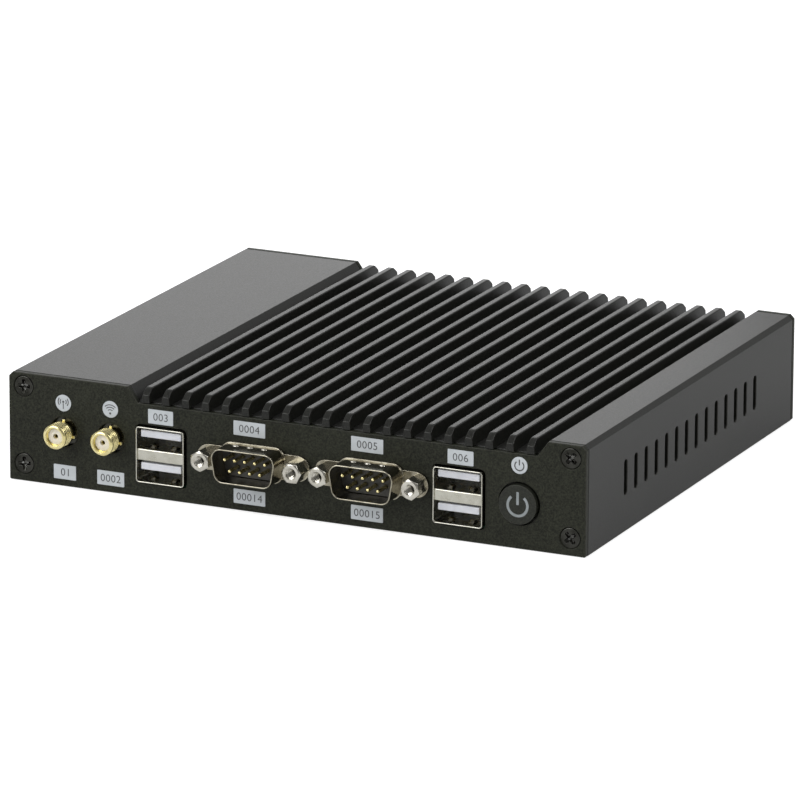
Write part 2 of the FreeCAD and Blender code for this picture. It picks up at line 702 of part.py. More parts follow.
def fins():
    """The comb of tapered fins, bevelled at both ends; it overhangs both end panels."""
    combs = []
    spread = (FIN_BASE - FIN_TOP) / 2
    for left in fin_positions():
        right = left + FIN_TOP
        points = [(left - spread, FIN_FLOOR), (right + spread, FIN_FLOOR), (right, HEIGHT), (left, HEIGHT)]
        combs.append(prism_y(points, [0] * 4, 0, DEPTH))
    low = HEIGHT - FIN_BEVEL_DROP
    over = CUT_MARGIN
    slope = FIN_BEVEL_DROP / FIN_BEVEL_RUN
    profile = [(-over, low - over * slope), (FIN_BEVEL_RUN + over, HEIGHT + over * slope),
               (-over, HEIGHT + over * slope)]
    mirrored = [(DEPTH - y, z) for y, z in profile]
    wedges = [side_prism(profile, 0, WIDTH), side_prism(mirrored, 0, WIDTH)]
    return [comb.cut(wedges) for comb in combs]


def case_profile():
    """The extruded section of the case: walls, shoulders, dipped roof and screw rails."""
    right_shoulder = WIDTH - RIGHT_SHOULDER
    outer = [(0, 0), (0, HEIGHT - EDGE_BEVEL), (EDGE_BEVEL, HEIGHT), (LEFT_SHOULDER, HEIGHT),
             (LEFT_SHOULDER + SLOPE_RUN, FIN_FLOOR), (right_shoulder - SLOPE_RUN, FIN_FLOOR),
             (right_shoulder, HEIGHT), (WIDTH - EDGE_BEVEL, HEIGHT), (WIDTH, HEIGHT - EDGE_BEVEL), (WIDTH, 0)]
    rail = SIDE_WALL + LOWER_RAIL_WIDTH
    ledge = SIDE_WALL + UPPER_RAIL_WIDTH
    rail_top = COVER_THICKNESS + LOWER_RAIL_HEIGHT
    ledge_bottom = SHOULDER_UNDERSIDE - UPPER_RAIL_HEIGHT
    inner = [(SIDE_WALL, 0), (SIDE_WALL, COVER_THICKNESS), (rail, COVER_THICKNESS), (rail, rail_top),
             (SIDE_WALL, rail_top), (SIDE_WALL, ledge_bottom), (ledge, ledge_bottom),
             (ledge, SHOULDER_UNDERSIDE)]
    inner_left = inner + [(LEFT_SHOULDER - INNER_SLOPE_SHIFT, SHOULDER_UNDERSIDE),
                          (LEFT_SHOULDER + SLOPE_RUN - INNER_SLOPE_SHIFT, ROOF_UNDERSIDE)]
    inner_right = [(WIDTH - x, z) for x, z in inner]
    inner_right += [(right_shoulder + INNER_SLOPE_SHIFT, SHOULDER_UNDERSIDE),
                    (right_shoulder - SLOPE_RUN + INNER_SLOPE_SHIFT, ROOF_UNDERSIDE)]
    return outer + inner_right + inner_left[::-1]


def housing():
    """The extruded case: roof with fins, side walls, screw rails and ventilation slots."""
    points = case_profile()
    body = prism_y(points, [0] * len(points), PANEL_THICKNESS, DEPTH - PANEL_THICKNESS)
    body = fuse([body] + fins())
    front = PANEL_THICKNESS
    rear = DEPTH - PANEL_THICKNESS
    holes = []
    for x, z in panel_screw_places():
        holes.append(rod_y(x, z, SCREW_RADIUS, front, front + SCREW_HOLE_DEPTH))
        holes.append(rod_y(x, z, SCREW_RADIUS, rear - SCREW_HOLE_DEPTH, rear))
    for x, y in cover_screw_places():
        holes.append(rod_z(x, y, SCREW_RADIUS, COVER_THICKNESS, COVER_SCREW_LENGTH + COVER_SCREW_TIP_GAP))
    for x, y in block_screw_places():
        holes.append(rod_z(x, y, SCREW_RADIUS, ROOF_UNDERSIDE, ROOF_UNDERSIDE + BLOCK_SCREW_ENTRY))
    wall_x = WIDTH - SIDE_WALL
    half = SLOT_WIDTH / 2
    for y in slot_positions():
        holes.append(box(wall_x, WIDTH, y - half, y + half, SLOT_BOTTOM + half, SLOT_TOP - half))
        for z in (SLOT_BOTTOM + half, SLOT_TOP - half):
            holes.append(Part.makeCylinder(half, SIDE_WALL, Vector(wall_x, y, z), Vector(1, 0, 0)))
    return cut(body, holes)


def panel_outline(depth_front, depth_rear):
    """A plain end panel that follows the case, dipped to pass under the fins."""
    right_shoulder = WIDTH - RIGHT_SHOULDER
    points = [(0, 0), (WIDTH, 0), (WIDTH, HEIGHT - EDGE_BEVEL), (WIDTH - EDGE_BEVEL, HEIGHT),
              (right_shoulder, HEIGHT), (slope_x(right_shoulder, -1, PANEL_DIP), PANEL_DIP),
              (slope_x(LEFT_SHOULDER, 1, PANEL_DIP), PANEL_DIP), (LEFT_SHOULDER, HEIGHT),
              (EDGE_BEVEL, HEIGHT), (0, HEIGHT - EDGE_BEVEL)]
    radii = [PANEL_FOOT_RADIUS] * 2 + [0] * (len(points) - 2)
    return prism_y(points, radii, depth_front, depth_rear)


def with_broken_edge(panel, face_y):
    """The panel with a fine bevel round its outer face."""
    edges = [edge for edge in panel.Edges
             if all(abs(vertex.Point.y - face_y) < TOUCH for vertex in edge.Vertexes)]
    return panel.makeChamfer(PANEL_EDGE_BREAK, edges)


def front_panel():
    """The front panel with its screw seats, connector cut-outs and button hole."""
    panel = with_broken_edge(panel_outline(0, PANEL_THICKNESS), 0)
    holes = [face_front(countersink(PANEL_THICKNESS), x, 0, z) for x, z in panel_screw_places()]
    for x in ANTENNA_XS:
        holes.append(rod_y(x, ANTENNA_HEIGHT, JACK_PANEL_RADIUS, 0, PANEL_THICKNESS))
        holes.append(cone_y(x, ANTENNA_HEIGHT, JACK_PANEL_RADIUS + JACK_HOLE_CHAMFER, JACK_PANEL_RADIUS,
                            0, JACK_HOLE_CHAMFER))
    for x in DATA_XS:
        centre = BOARD_TOP + DATA_HEIGHT / 2
        holes.append(round_block(x, centre, DATA_WIDTH + 2 * CUTOUT_GAP, DATA_HEIGHT + 2 * CUTOUT_GAP,
                                 DATA_CORNER + CUTOUT_GAP, 0, PANEL_THICKNESS))
    for x in SERIAL_XS:
        holes.append(d_block(x, SERIAL_HEIGHT, LOOSE_GAP, 0, PANEL_THICKNESS))
    for x in JACKSCREW_XS:
        holes.append(rod_y(x, SERIAL_HEIGHT, JACKSCREW_RADIUS + LOOSE_GAP, 0, PANEL_THICKNESS))
    holes.append(rod_y(BUTTON_X, BUTTON_HEIGHT, BUTTON_HOLE_RADIUS, 0, PANEL_THICKNESS))
    holes.append(cone_y(BUTTON_X, BUTTON_HEIGHT, BUTTON_HOLE_RADIUS + BUTTON_HOLE_CHAMFER, BUTTON_HOLE_RADIUS,
                        0, BUTTON_HOLE_CHAMFER))
    return cut(panel, holes)


def rear_panel():
    """The rear panel with its screw seats and cut-outs for the rear sockets."""
    inner_face = DEPTH - PANEL_THICKNESS
    panel = with_broken_edge(panel_outline(inner_face, DEPTH), DEPTH)
    holes = [face_rear(countersink(PANEL_THICKNESS), x, DEPTH, z) for x, z in panel_screw_places()]
    gap = 2 * LOOSE_GAP
    holes.append(round_block(INLET_FROM_LEFT, BOARD_TOP + INLET_HEIGHT / 2, INLET_WIDTH + gap,
                             INLET_HEIGHT + gap, LOOSE_GAP, inner_face, DEPTH))
    holes.append(video_block(LOOSE_GAP, inner_face, DEPTH))
    for x in LAN_XS:
        holes.append(round_block(x, BOARD_TOP + LAN_HEIGHT / 2, LAN_WIDTH + gap, LAN_HEIGHT + gap,
                                 LOOSE_GAP, inner_face, DEPTH))
    holes.append(rod_y(SOUND_X, BOARD_TOP + SOUND_HEIGHT / 2, SOUND_NOSE_RADIUS + LOOSE_GAP,
                       inner_face, DEPTH))
    return cut(panel, holes)


def bottom_cover():
    """The flat cover that closes the case from below, with countersunk holes."""
    edge = SIDE_WALL + LOOSE_GAP
    end = PANEL_THICKNESS + FIT_GAP
    sheet = box(edge, WIDTH - edge, end, DEPTH - end, 0, COVER_THICKNESS)
    holes = [face_down(countersink(COVER_THICKNESS), x, y, 0) for x, y in cover_screw_places()]
    return cut(sheet, holes)


def panel_screws(place, face_y, turns):
    """The four countersunk screws of an end panel, each with its own recess angle."""
    screws = []
    for (x, z), turn in zip(panel_screw_places(), turns):
        screws.append(place(countersunk_screw(SCREW_LENGTH, turn), x, face_y, z))
    return Part.makeCompound(screws)


def cover_screws():
    """The four countersunk screws of the bottom cover."""
    screw = countersunk_screw(COVER_SCREW_LENGTH, COVER_SCREW_TURN)
    return Part.makeCompound([face_down(screw, x, y, 0) for x, y in cover_screw_places()])


def pin_places(x):
    """The (x, z, bend) of the nine pins: five above, four below."""
    upper = [(x + PIN_PITCH * step, SERIAL_HEIGHT + PIN_ROW_HALF, UPPER_PIN_BEND) for step in range(-2, 3)]
    lower = [(x + PIN_PITCH * (step + 0.5), SERIAL_HEIGHT - PIN_ROW_HALF, LOWER_PIN_BEND)
             for step in range(-2, 2)]
    return upper + lower


def data_contact_rows():
    """The (top of the strip, bend) of the two rows of contacts in a data port."""
    divider_bottom = BOARD_TOP + DATA_DIVIDER_CENTRE - DATA_DIVIDER_HEIGHT / 2
    lower = divider_bottom - DATA_TONGUE_GAP - DATA_TONGUE_THICKNESS
    upper = DATA_TOP - DATA_WALL - DATA_TONGUE_GAP - DATA_TONGUE_THICKNESS
    return [(lower, DATA_BACK - DATA_BLOCK_DEPTH + DATA_LOWER_BEND), (upper, DATA_BACK - DATA_UPPER_BEND)]


def board_holes():
    """Holes in the main board for its screws, the serial pins and the data contacts."""
    holes = []
    for x, y in board_screw_places():
        holes.append(rod_z(x, y, BOARD_SCREW_RADIUS + LOOSE_GAP, BOARD_BOTTOM, BOARD_TOP))
    for port_x in SERIAL_XS:
        for x, _, bend in pin_places(port_x):
            holes.append(rod_z(x, bend, PIN_RADIUS + FIT_GAP, BOARD_BOTTOM, BOARD_TOP))
    half = DATA_CONTACT_WIDTH / 2 + FIT_GAP
    for port_x in DATA_XS:
        for _, bend in data_contact_rows():
            for offset in DATA_CONTACT_OFFSETS:
                x = port_x + offset
                holes.append(box(x - half, x + half, bend - DATA_CONTACT_THICKNESS - FIT_GAP, bend + FIT_GAP,
                                 BOARD_BOTTOM, BOARD_TOP))
    return holes


def mainboard():
    """The main circuit board."""
    board = box(BOARD_LEFT, BOARD_RIGHT, BOARD_FRONT, BOARD_REAR, BOARD_BOTTOM, BOARD_TOP)
    return cut(board, board_holes())


def board_standoffs():
    """Short threaded spacers between the bottom cover and the main board."""
    spacers = []
    for x, y in board_screw_places():
        outer = rod_z(x, y, STANDOFF_RADIUS, COVER_THICKNESS, BOARD_BOTTOM)
        spacers.append(outer.cut(rod_z(x, y, BOARD_SCREW_RADIUS, COVER_THICKNESS, BOARD_BOTTOM)))
    return Part.makeCompound(spacers)


def pan_screw(x, y, radius, head_radius, head_height, bottom, seat):
    """An upright pan head screw whose head rests at a height called the seat."""
    shank = rod_z(x, y, radius, bottom, seat)
    head = rod_z(x, y, head_radius, seat, seat + head_height)
    top_edges = [edge for edge in head.Edges if abs(edge.BoundBox.ZMin - seat - head_height) < TOUCH]
    head = head.makeFillet(PAN_EDGE_ROUND, top_edges)
    recess = cross_recess(0, PAN_RECESS_SPAN, PAN_RECESS_WIDTH, PAN_RECESS_DEPTH)
    recess.translate(Vector(x, y, seat + head_height))
    return cut(fuse([shank, head]), [recess])


def board_screws():
    """The six pan head screws that hold the main board."""
    return Part.makeCompound([pan_screw(x, y, BOARD_SCREW_RADIUS - FIT_GAP, BOARD_SCREW_HEAD_RADIUS,
                                        BOARD_SCREW_HEAD_HEIGHT, COVER_THICKNESS, BOARD_TOP)
                              for x, y in board_screw_places()])


def antenna_jack(x):
    """A board mounted coaxial jack: block, neck and threaded barrel in one piece."""
    z = ANTENNA_HEIGHT
    back = BOARD_FRONT + JACK_BLOCK_DEPTH
    block = box(x - JACK_BLOCK_HALF, x + JACK_BLOCK_HALF, BOARD_FRONT, back, BOARD_TOP, z + JACK_BLOCK_HALF)
    neck = rod_y(x, z, JACK_NECK_RADIUS, -JACK_SHOULDER, BOARD_FRONT)
    barrel = rod_y(x, z, JACK_RADIUS, -JACK_REACH + JACK_CHAMFER, -JACK_SHOULDER)
    nose = cone_y(x, z, JACK_RADIUS - JACK_CHAMFER, JACK_RADIUS, -JACK_REACH, -JACK_REACH + JACK_CHAMFER)
    socket = rod_y(x, z, JACK_BORE_RADIUS, -JACK_REACH, -JACK_REACH + JACK_INSULATOR_RECESS)
    bore = rod_y(x, z, JACK_SOCKET_RADIUS, -JACK_REACH, back)
    return cut(fuse([block, neck, barrel, nose]), [socket, bore])


def antenna_insulator(x):
    """The white sleeve inside an antenna jack."""
    sleeve = rod_y(x, ANTENNA_HEIGHT, JACK_SOCKET_RADIUS, -JACK_REACH + JACK_INSULATOR_RECESS,
                   BOARD_FRONT + JACK_BLOCK_DEPTH)
    return sleeve.cut(rod_y(x, ANTENNA_HEIGHT, CONTACT_RADIUS, -JACK_REACH, BOARD_FRONT + JACK_BLOCK_DEPTH))


def antenna_contact(x):
    """The gold centre contact of an antenna jack, bored to take the mating pin."""
    tip = -JACK_REACH + CONTACT_RECESS
    pin = rod_y(x, ANTENNA_HEIGHT, CONTACT_RADIUS, tip, BOARD_FRONT + JACK_BLOCK_DEPTH)
    return pin.cut(rod_y(x, ANTENNA_HEIGHT, CONTACT_BORE_RADIUS, tip, 0))


def antenna_ring(x):
    """The thin locking ring behind a barrel, with four lugs that show past it."""
    front = -JACK_SHOULDER
    back = front + RING_THICKNESS
    ring = rod_y(x, ANTENNA_HEIGHT, RING_RADIUS, front, back)
    half = RING_LUG_WIDTH / 2
    lugs = []
    for quarter in range(4):
        lug = box(x, x + RING_LUG_RADIUS, front, back, ANTENNA_HEIGHT - half, ANTENNA_HEIGHT + half)
        lug.rotate(Vector(x, front, ANTENNA_HEIGHT), Vector(0, -1, 0), RING_LUG_ANGLE + 90 * quarter)
        lugs.append(lug)
    hole = rod_y(x, ANTENNA_HEIGHT, JACK_NECK_RADIUS + FIT_GAP, front, back)
    return cut(fuse([ring] + lugs), [hole])


def data_shell(x):
    """The metal shell of two stacked data ports, with its folded divider and springs."""
    centre = BOARD_TOP + DATA_HEIGHT / 2
    tube = round_block(x, centre, DATA_WIDTH, DATA_HEIGHT, DATA_CORNER, -DATA_REACH, DATA_BACK)
    inner_width = DATA_WIDTH - 2 * DATA_WALL
    hollow = round_block(x, centre, inner_width, DATA_HEIGHT - 2 * DATA_WALL, DATA_CORNER - DATA_WALL,
                         -DATA_REACH, DATA_BACK - DATA_WALL)
    block_front = DATA_BACK - DATA_WALL - DATA_BLOCK_DEPTH
    foot = box(x - inner_width / 2, x + inner_width / 2, block_front, DATA_BACK - DATA_WALL,
               BOARD_TOP, centre)
    divider_z = BOARD_TOP + DATA_DIVIDER_CENTRE
    divider_front = -DATA_REACH + DATA_DIVIDER_SETBACK
    half = DATA_DIVIDER_HEIGHT / 2
    divider = box(x - inner_width / 2, x + inner_width / 2, divider_front, block_front - FIT_GAP,
                  divider_z - half, divider_z + half)
    fold = box(x - inner_width / 2, x + inner_width / 2, divider_front + DATA_SHEET, block_front - FIT_GAP,
               divider_z - half + DATA_SHEET, divider_z + half - DATA_SHEET)
    springs = []
    for floor in (BOARD_TOP + DATA_WALL, divider_z + half):
        for side in (-1, 1):
            middle = x + side * DATA_SPRING_OFFSET
            root = floor - DATA_SHEET / 2
            peak = floor + DATA_SPRING_RISE
            profile = [(DATA_SPRING_START, root), (DATA_SPRING_PEAK, peak), (DATA_SPRING_END, root)]
            springs.append(side_prism(profile, middle - DATA_SPRING_WIDTH / 2,
                                      middle + DATA_SPRING_WIDTH / 2))
    shell = cut(tube, [hollow, foot])
    return fuse([shell, cut(divider, [fold])] + springs)


def data_contacts(x):
    """The eight spring contacts of one stacked data port."""
    tip = -DATA_REACH + DATA_TONGUE_SETBACK + DATA_CONTACT_SETBACK
    strips = []
    for strip_z, bend in data_contact_rows():
        for offset in DATA_CONTACT_OFFSETS:
            strips.append(bent_strip(x + offset, strip_z, DATA_CONTACT_WIDTH, DATA_CONTACT_THICKNESS,
                                     tip, bend, PIN_FOOT))
    return strips


def data_insulator(x):
    """The white plastic body of a stacked data port: rear block and two tongues."""
    front = DATA_BACK - DATA_WALL - DATA_BLOCK_DEPTH
    half = DATA_WIDTH / 2 - DATA_WALL - FIT_GAP
    block = box(x - half, x + half, front, DATA_BACK - DATA_WALL - FIT_GAP,
                BOARD_TOP, DATA_TOP - DATA_WALL - FIT_GAP - DATA_CORNER / 2)
    tongues = []
    for strip_z, _ in data_contact_rows():
        tongue = box(x - DATA_TONGUE_WIDTH / 2, x + DATA_TONGUE_WIDTH / 2, -DATA_REACH + DATA_TONGUE_SETBACK,
                     front, strip_z, strip_z + DATA_TONGUE_THICKNESS)
        edges = [edge for edge in tongue.Edges
                 if abs(edge.BoundBox.YMax + DATA_REACH - DATA_TONGUE_SETBACK) < TOUCH]
        tongues.append(tongue.makeChamfer(PANEL_EDGE_BREAK, edges))
    return cut(fuse([block] + tongues), data_contacts(x))


def serial_shell(x):
    """The metal front of a serial connector: lobed flange and D shaped shell."""
    z = SERIAL_HEIGHT
    reach = FLANGE_LENGTH / 2 - FLANGE_LOBE_RADIUS
    bar = box(x - reach, x + reach, -FLANGE_THICKNESS, 0, z - FLANGE_LOBE_RADIUS, z + FLANGE_LOBE_RADIUS)
    lobes = [rod_y(x + side * reach, z, FLANGE_LOBE_RADIUS, -FLANGE_THICKNESS, 0) for side in (-1, 1)]
    plate = d_block(x, z, FLANGE_BORDER, -FLANGE_THICKNESS, 0)
    flange = fuse([bar, plate] + lobes)
    tube = d_block(x, z, 0, -SERIAL_REACH, -FLANGE_THICKNESS)
    shell = fuse([flange, tube])
    root = [edge for edge in shell.Edges if joins_shell_to_flange(edge, x, z)]
    shell = shell.makeFillet(SERIAL_ROOT_FILLET, root)
    dimples = []
    for face in (1, -1):
        height = z + face * (SERIAL_OPENING_HEIGHT / 2 + DIMPLE_RISE - DIMPLE_RADIUS)
        for step in (-1, 0, 1):
            middle = x + step * DIMPLE_PITCH
            start = Vector(middle - DIMPLE_LENGTH / 2, -DIMPLE_FROM_PANEL, height)
            end = Vector(middle + DIMPLE_LENGTH / 2, -DIMPLE_FROM_PANEL, height)
            dimples.append(fuse([Part.makeCylinder(DIMPLE_RADIUS, DIMPLE_LENGTH, start, Vector(1, 0, 0)),
                                 Part.makeSphere(DIMPLE_RADIUS, start), Part.makeSphere(DIMPLE_RADIUS, end)]))
    shell = fuse([shell] + dimples)
    hollow = d_block(x, z, -SERIAL_WALL, -SERIAL_REACH, 0)
    holes = [rod_y(x + side * JACKSCREW_SPACING / 2, z, JACKSCREW_RADIUS + LOOSE_GAP, -FLANGE_THICKNESS, 0)
             for side in (-1, 1)]
    return cut(shell, [hollow] + holes)


def joins_shell_to_flange(edge, x, z):
    """Whether an edge lies where the D shaped shell meets the flange's front face."""
    box_of_edge = edge.BoundBox
    if abs(box_of_edge.YMin + FLANGE_THICKNESS) > TOUCH or abs(box_of_edge.YMax + FLANGE_THICKNESS) > TOUCH:
        return False
    middle = edge.valueAt((edge.FirstParameter + edge.LastParameter) / 2)
    around = d_block(x, z, FLANGE_BORDER / 2, -FLANGE_THICKNESS - CUT_MARGIN, 0)
    return around.isInside(middle, TOUCH, True)


def serial_pins(x):
    """The nine pins of one serial connector."""
    tip = -SERIAL_REACH + PIN_RECESS
    return [bent_pin(pin_x, z, PIN_RADIUS, tip, bend, PIN_FOOT) for pin_x, z, bend in pin_places(x)]


def serial_insulator(x):
    """The black plastic body of a serial connector, which stands on the board."""
    front = -FLANGE_THICKNESS - SERIAL_FLOOR_STEP
    plug = d_block(x, SERIAL_HEIGHT, -SERIAL_WALL - FIT_GAP, front, BOARD_FRONT)
    half = JACKSCREW_SPACING / 2 - JACKNUT_ACROSS / 2 - SERIAL_NUT_GAP
    block = box(x - half, x + half, BOARD_FRONT, BOARD_FRONT + SERIAL_BLOCK_DEPTH, BOARD_TOP,
                SERIAL_HEIGHT + SERIAL_BLOCK_RISE)
    return cut(fuse([plug, block]), serial_pins(x))


def jackscrew(x, turn):
    """A hexagonal jackscrew with a threaded bore in its head."""
    z = SERIAL_HEIGHT
    front = -FLANGE_THICKNESS - JACKSCREW_LENGTH
    head = hexagon_y(x, z, JACKSCREW_ACROSS, front, -FLANGE_THICKNESS, turn)
    shank = rod_y(x, z, JACKSCREW_RADIUS, -FLANGE_THICKNESS, JACKSCREW_SHANK)
    bevel = cone_y(x, z, JACKSCREW_ACROSS / 2, JACKSCREW_ACROSS / 2 + JACKSCREW_LENGTH, front,
                   -FLANGE_THICKNESS)
    head = head.common(bevel)
    bore = rod_y(x, z, JACKSCREW_BORE_RADIUS, front, front + JACKSCREW_BORE_DEPTH)
    mouth = cone_y(x, z, JACKSCREW_BORE_RADIUS + JACKSCREW_MOUTH_CHAMFER, JACKSCREW_BORE_RADIUS, front,
                   front + JACKSCREW_MOUTH_CHAMFER)
    return cut(fuse([head, shank]), [bore, mouth])


def jackscrew_nut(x):
    """The nut behind the panel that a jackscrew pulls against."""
    nut = hexagon_y(x, SERIAL_HEIGHT, JACKNUT_ACROSS, PANEL_THICKNESS,
                    PANEL_THICKNESS + JACKNUT_THICKNESS, 90)
    return nut.cut(rod_y(x, SERIAL_HEIGHT, JACKSCREW_RADIUS + FIT_GAP, PANEL_THICKNESS,
                         PANEL_THICKNESS + JACKNUT_THICKNESS))


def power_icon():
    """The groove of the power sign: an open ring with a bar at its top."""
    x = BUTTON_X
    z = BUTTON_HEIGHT - ICON_DROP
    face = -CAP_REACH
    ring = rod_y(x, z, ICON_RADIUS, face, face + ICON_DEPTH)
    ring = ring.cut(rod_y(x, z, ICON_RADIUS - ICON_LINE, face, face + ICON_DEPTH))
    spread = 2 * ICON_RADIUS * math.sin(math.radians(ICON_GAP_ANGLE))
    rise = 2 * ICON_RADIUS * math.cos(math.radians(ICON_GAP_ANGLE))
    gap = prism_y([(x, z), (x + spread, z + rise), (x - spread, z + rise)], [0] * 3, face, face + ICON_DEPTH)
    bar = round_block(x, z + (ICON_BAR_TOP + ICON_BAR_BOTTOM) / 2, ICON_LINE, ICON_BAR_TOP - ICON_BAR_BOTTOM,
                      ICON_BAR_ROUND, face, face + ICON_DEPTH)
    return [ring.cut(gap), bar]


def power_button_cap():
    """The moving cap: domed edge, retaining flange and central stem."""
    x = BUTTON_X
    z = BUTTON_HEIGHT
    face = -CAP_REACH
    back = face + CAP_LENGTH
    nose = cone_y(x, z, CAP_RADIUS - CAP_CHAMFER, CAP_RADIUS, face, face + CAP_CHAMFER)
    skirt = rod_y(x, z, CAP_RADIUS, face + CAP_CHAMFER, back)
    flange_front = PANEL_THICKNESS + LOOSE_GAP
    flange = rod_y(x, z, CAP_FLANGE_RADIUS, flange_front, flange_front + CAP_FLANGE_THICKNESS)
    hollow = rod_y(x, z, CAP_RADIUS - CAP_WALL, face + CAP_FACE_THICKNESS, back)
    cap = cut(fuse([nose, skirt, flange]), [hollow])
    stem = rod_y(x, z, CAP_STEM_RADIUS, face + CAP_FACE_THICKNESS, bridge_front())
    return cut(fuse([cap, stem]), power_icon())


def button_floor():
    """Where the inner floor of the button's body lies."""
    return PANEL_THICKNESS + BUTTON_BODY_LENGTH - BUTTON_FLOOR


def bridge_front():
    """Where the front of the contact bridge lies at rest."""
    return button_floor() - TERMINAL_RADIUS - CONTACT_LIMIT_GAP - BUTTON_TRAVEL - BRIDGE_THICKNESS


def contact_bridge():
    """The metal disc on the cap's stem that closes the circuit."""
    front = bridge_front()
    return rod_y(BUTTON_X, BUTTON_HEIGHT, BRIDGE_RADIUS, front, front + BRIDGE_THICKNESS)


def power_button_body():
    """The fixed cup behind the panel in which the cap travels."""
    x = BUTTON_X
    z = BUTTON_HEIGHT
    cup = rod_y(x, z, BUTTON_BODY_RADIUS, PANEL_THICKNESS, PANEL_THICKNESS + BUTTON_BODY_LENGTH)
    bore = rod_y(x, z, CAP_FLANGE_RADIUS + LOOSE_GAP, PANEL_THICKNESS, button_floor())
    return cut(cup, [bore] + [rod_y(x + side * TERMINAL_OFFSET, z, TERMINAL_RADIUS, button_floor(),
                                    PANEL_THICKNESS + BUTTON_BODY_LENGTH) for side in (-1, 1)])


def switch_terminals():
    """The two fixed contacts with their solder tails."""
    front = button_floor() - TERMINAL_RADIUS
    back = PANEL_THICKNESS + BUTTON_BODY_LENGTH + TERMINAL_TAIL
    xs = [BUTTON_X + side * TERMINAL_OFFSET for side in (-1, 1)]
    return Part.makeCompound([rod_y(x, BUTTON_HEIGHT, TERMINAL_RADIUS, front, back) for x in xs])


def power_button_spring():
    """The helical spring between the cap and the floor of its cup."""
    front = -CAP_REACH + CAP_FACE_THICKNESS + SPRING_WIRE_RADIUS
    back = button_floor() - SPRING_WIRE_RADIUS
    length = back - front
    path = Part.makeHelix(length / SPRING_TURNS, length, SPRING_MEAN_RADIUS)
    circle = Part.makeCircle(SPRING_WIRE_RADIUS, Vector(SPRING_MEAN_RADIUS, 0, 0), Vector(0, 1, 0))
    section = Part.Wire(circle)
    spring = Part.Wire(path.Edges).makePipeShell([section], True, True)
    return face_rear(spring, BUTTON_X, front, BUTTON_HEIGHT)


def label_plate(x, bottom, width):
    """A thin rectangular label on the front panel."""
    return round_block(x, bottom + LABEL_HEIGHT / 2, width, LABEL_HEIGHT, LABEL_CORNER, -LABEL_THICKNESS, 0)


def label_disc(x, z):
    """A thin round label on the front panel."""
    return rod_y(x, z, LABEL_DISC_RADIUS, -LABEL_THICKNESS, 0)


def front_labels():
    """All the thin labels on the front panel."""
    labels = []
    for x, shift, width in zip(ANTENNA_XS, ANTENNA_LABEL_SHIFTS, ANTENNA_LABEL_WIDTHS):
        labels.append(label_plate(x + shift, LABEL_LOW, width))
    labels += [label_plate(x, LABEL_HIGH, DATA_LABEL_WIDTH) for x in DATA_XS]
    for x in SERIAL_XS:
        labels.append(label_plate(x + SERIAL_LABEL_SHIFT, LABEL_HIGH, SERIAL_LABEL_WIDTH))
        labels.append(label_plate(x + SERIAL_LABEL_SHIFT, LABEL_LOW, SERIAL_LABEL_WIDTH))
    labels += [label_disc(x, PANEL_DIP - ANTENNA_DISC_DROP) for x in ANTENNA_XS]
    labels.append(label_disc(BUTTON_X, PANEL_DIP - BUTTON_DISC_DROP))
    return Part.makeCompound(labels)


def inlet_body():
    """The plastic body of the power inlet."""
    x = INLET_FROM_LEFT
    half = INLET_WIDTH / 2
    block = box(x - half, x + half, REAR_FACE - INLET_DEPTH, REAR_FACE, BOARD_TOP, BOARD_TOP + INLET_HEIGHT)
    bore = rod_y(x, inlet_height(), INLET_BORE_RADIUS, REAR_FACE - INLET_BORE_DEPTH, REAR_FACE)
    pin_hole = rod_y(x, inlet_height(), INLET_ROOT_RADIUS, REAR_FACE - INLET_DEPTH, REAR_FACE)
    return cut(block, [bore, pin_hole])


def inlet_height():
    """The height of the power inlet's axis."""
    return BOARD_TOP + INLET_HEIGHT / 2


def inlet_pin():
    """The metal centre pin of the power inlet, thicker where the body holds it."""
    x = INLET_FROM_LEFT
    z = inlet_height()
    floor = REAR_FACE - INLET_BORE_DEPTH
    tip = floor + INLET_PIN_LENGTH
    root = rod_y(x, z, INLET_ROOT_RADIUS, REAR_FACE - INLET_DEPTH, floor)
    pin = rod_y(x, z, INLET_PIN_RADIUS, floor, tip - INLET_PIN_TAPER)
    nose = cone_y(x, z, INLET_PIN_RADIUS, INLET_PIN_RADIUS - INLET_PIN_TAPER, tip - INLET_PIN_TAPER, tip)
    return fuse([root, pin, nose])


def video_block(grow, y0, y1):
    """The bar with two cut lower corners that the video socket's shell follows."""
    x = VIDEO_X
    half = VIDEO_WIDTH / 2 + grow
    low = BOARD_TOP - grow
    high = BOARD_TOP + VIDEO_HEIGHT + grow
    points = [(x - half + VIDEO_CORNER_CUT, low), (x + half - VIDEO_CORNER_CUT, low),
              (x + half, low + VIDEO_CORNER_CUT), (x + half, high), (x - half, high),
              (x - half, low + VIDEO_CORNER_CUT)]
    return prism_y(points, [0] * len(points), y0, y1)


def video_shell():
    """The metal shell of the video socket."""
    outer = video_block(0, REAR_FACE - VIDEO_DEPTH, REAR_FACE)
    hollow = video_block(-VIDEO_WALL, REAR_FACE - VIDEO_DEPTH + VIDEO_WALL, REAR_FACE)
    return cut(outer, [hollow])


def video_insert():
    """The plastic tongue of the video socket and the block that holds it."""
    x = VIDEO_X
    back = REAR_FACE - VIDEO_DEPTH + VIDEO_WALL
    block = video_block(-VIDEO_WALL, back, back + VIDEO_BLOCK_DEPTH)
    middle = BOARD_TOP + VIDEO_HEIGHT / 2
    tongue = box(x - VIDEO_TONGUE_WIDTH / 2, x + VIDEO_TONGUE_WIDTH / 2, back,
                 REAR_FACE - VIDEO_TONGUE_SETBACK, middle - VIDEO_TONGUE_THICKNESS / 2,
                 middle + VIDEO_TONGUE_THICKNESS / 2)
    return fuse([block, tongue])


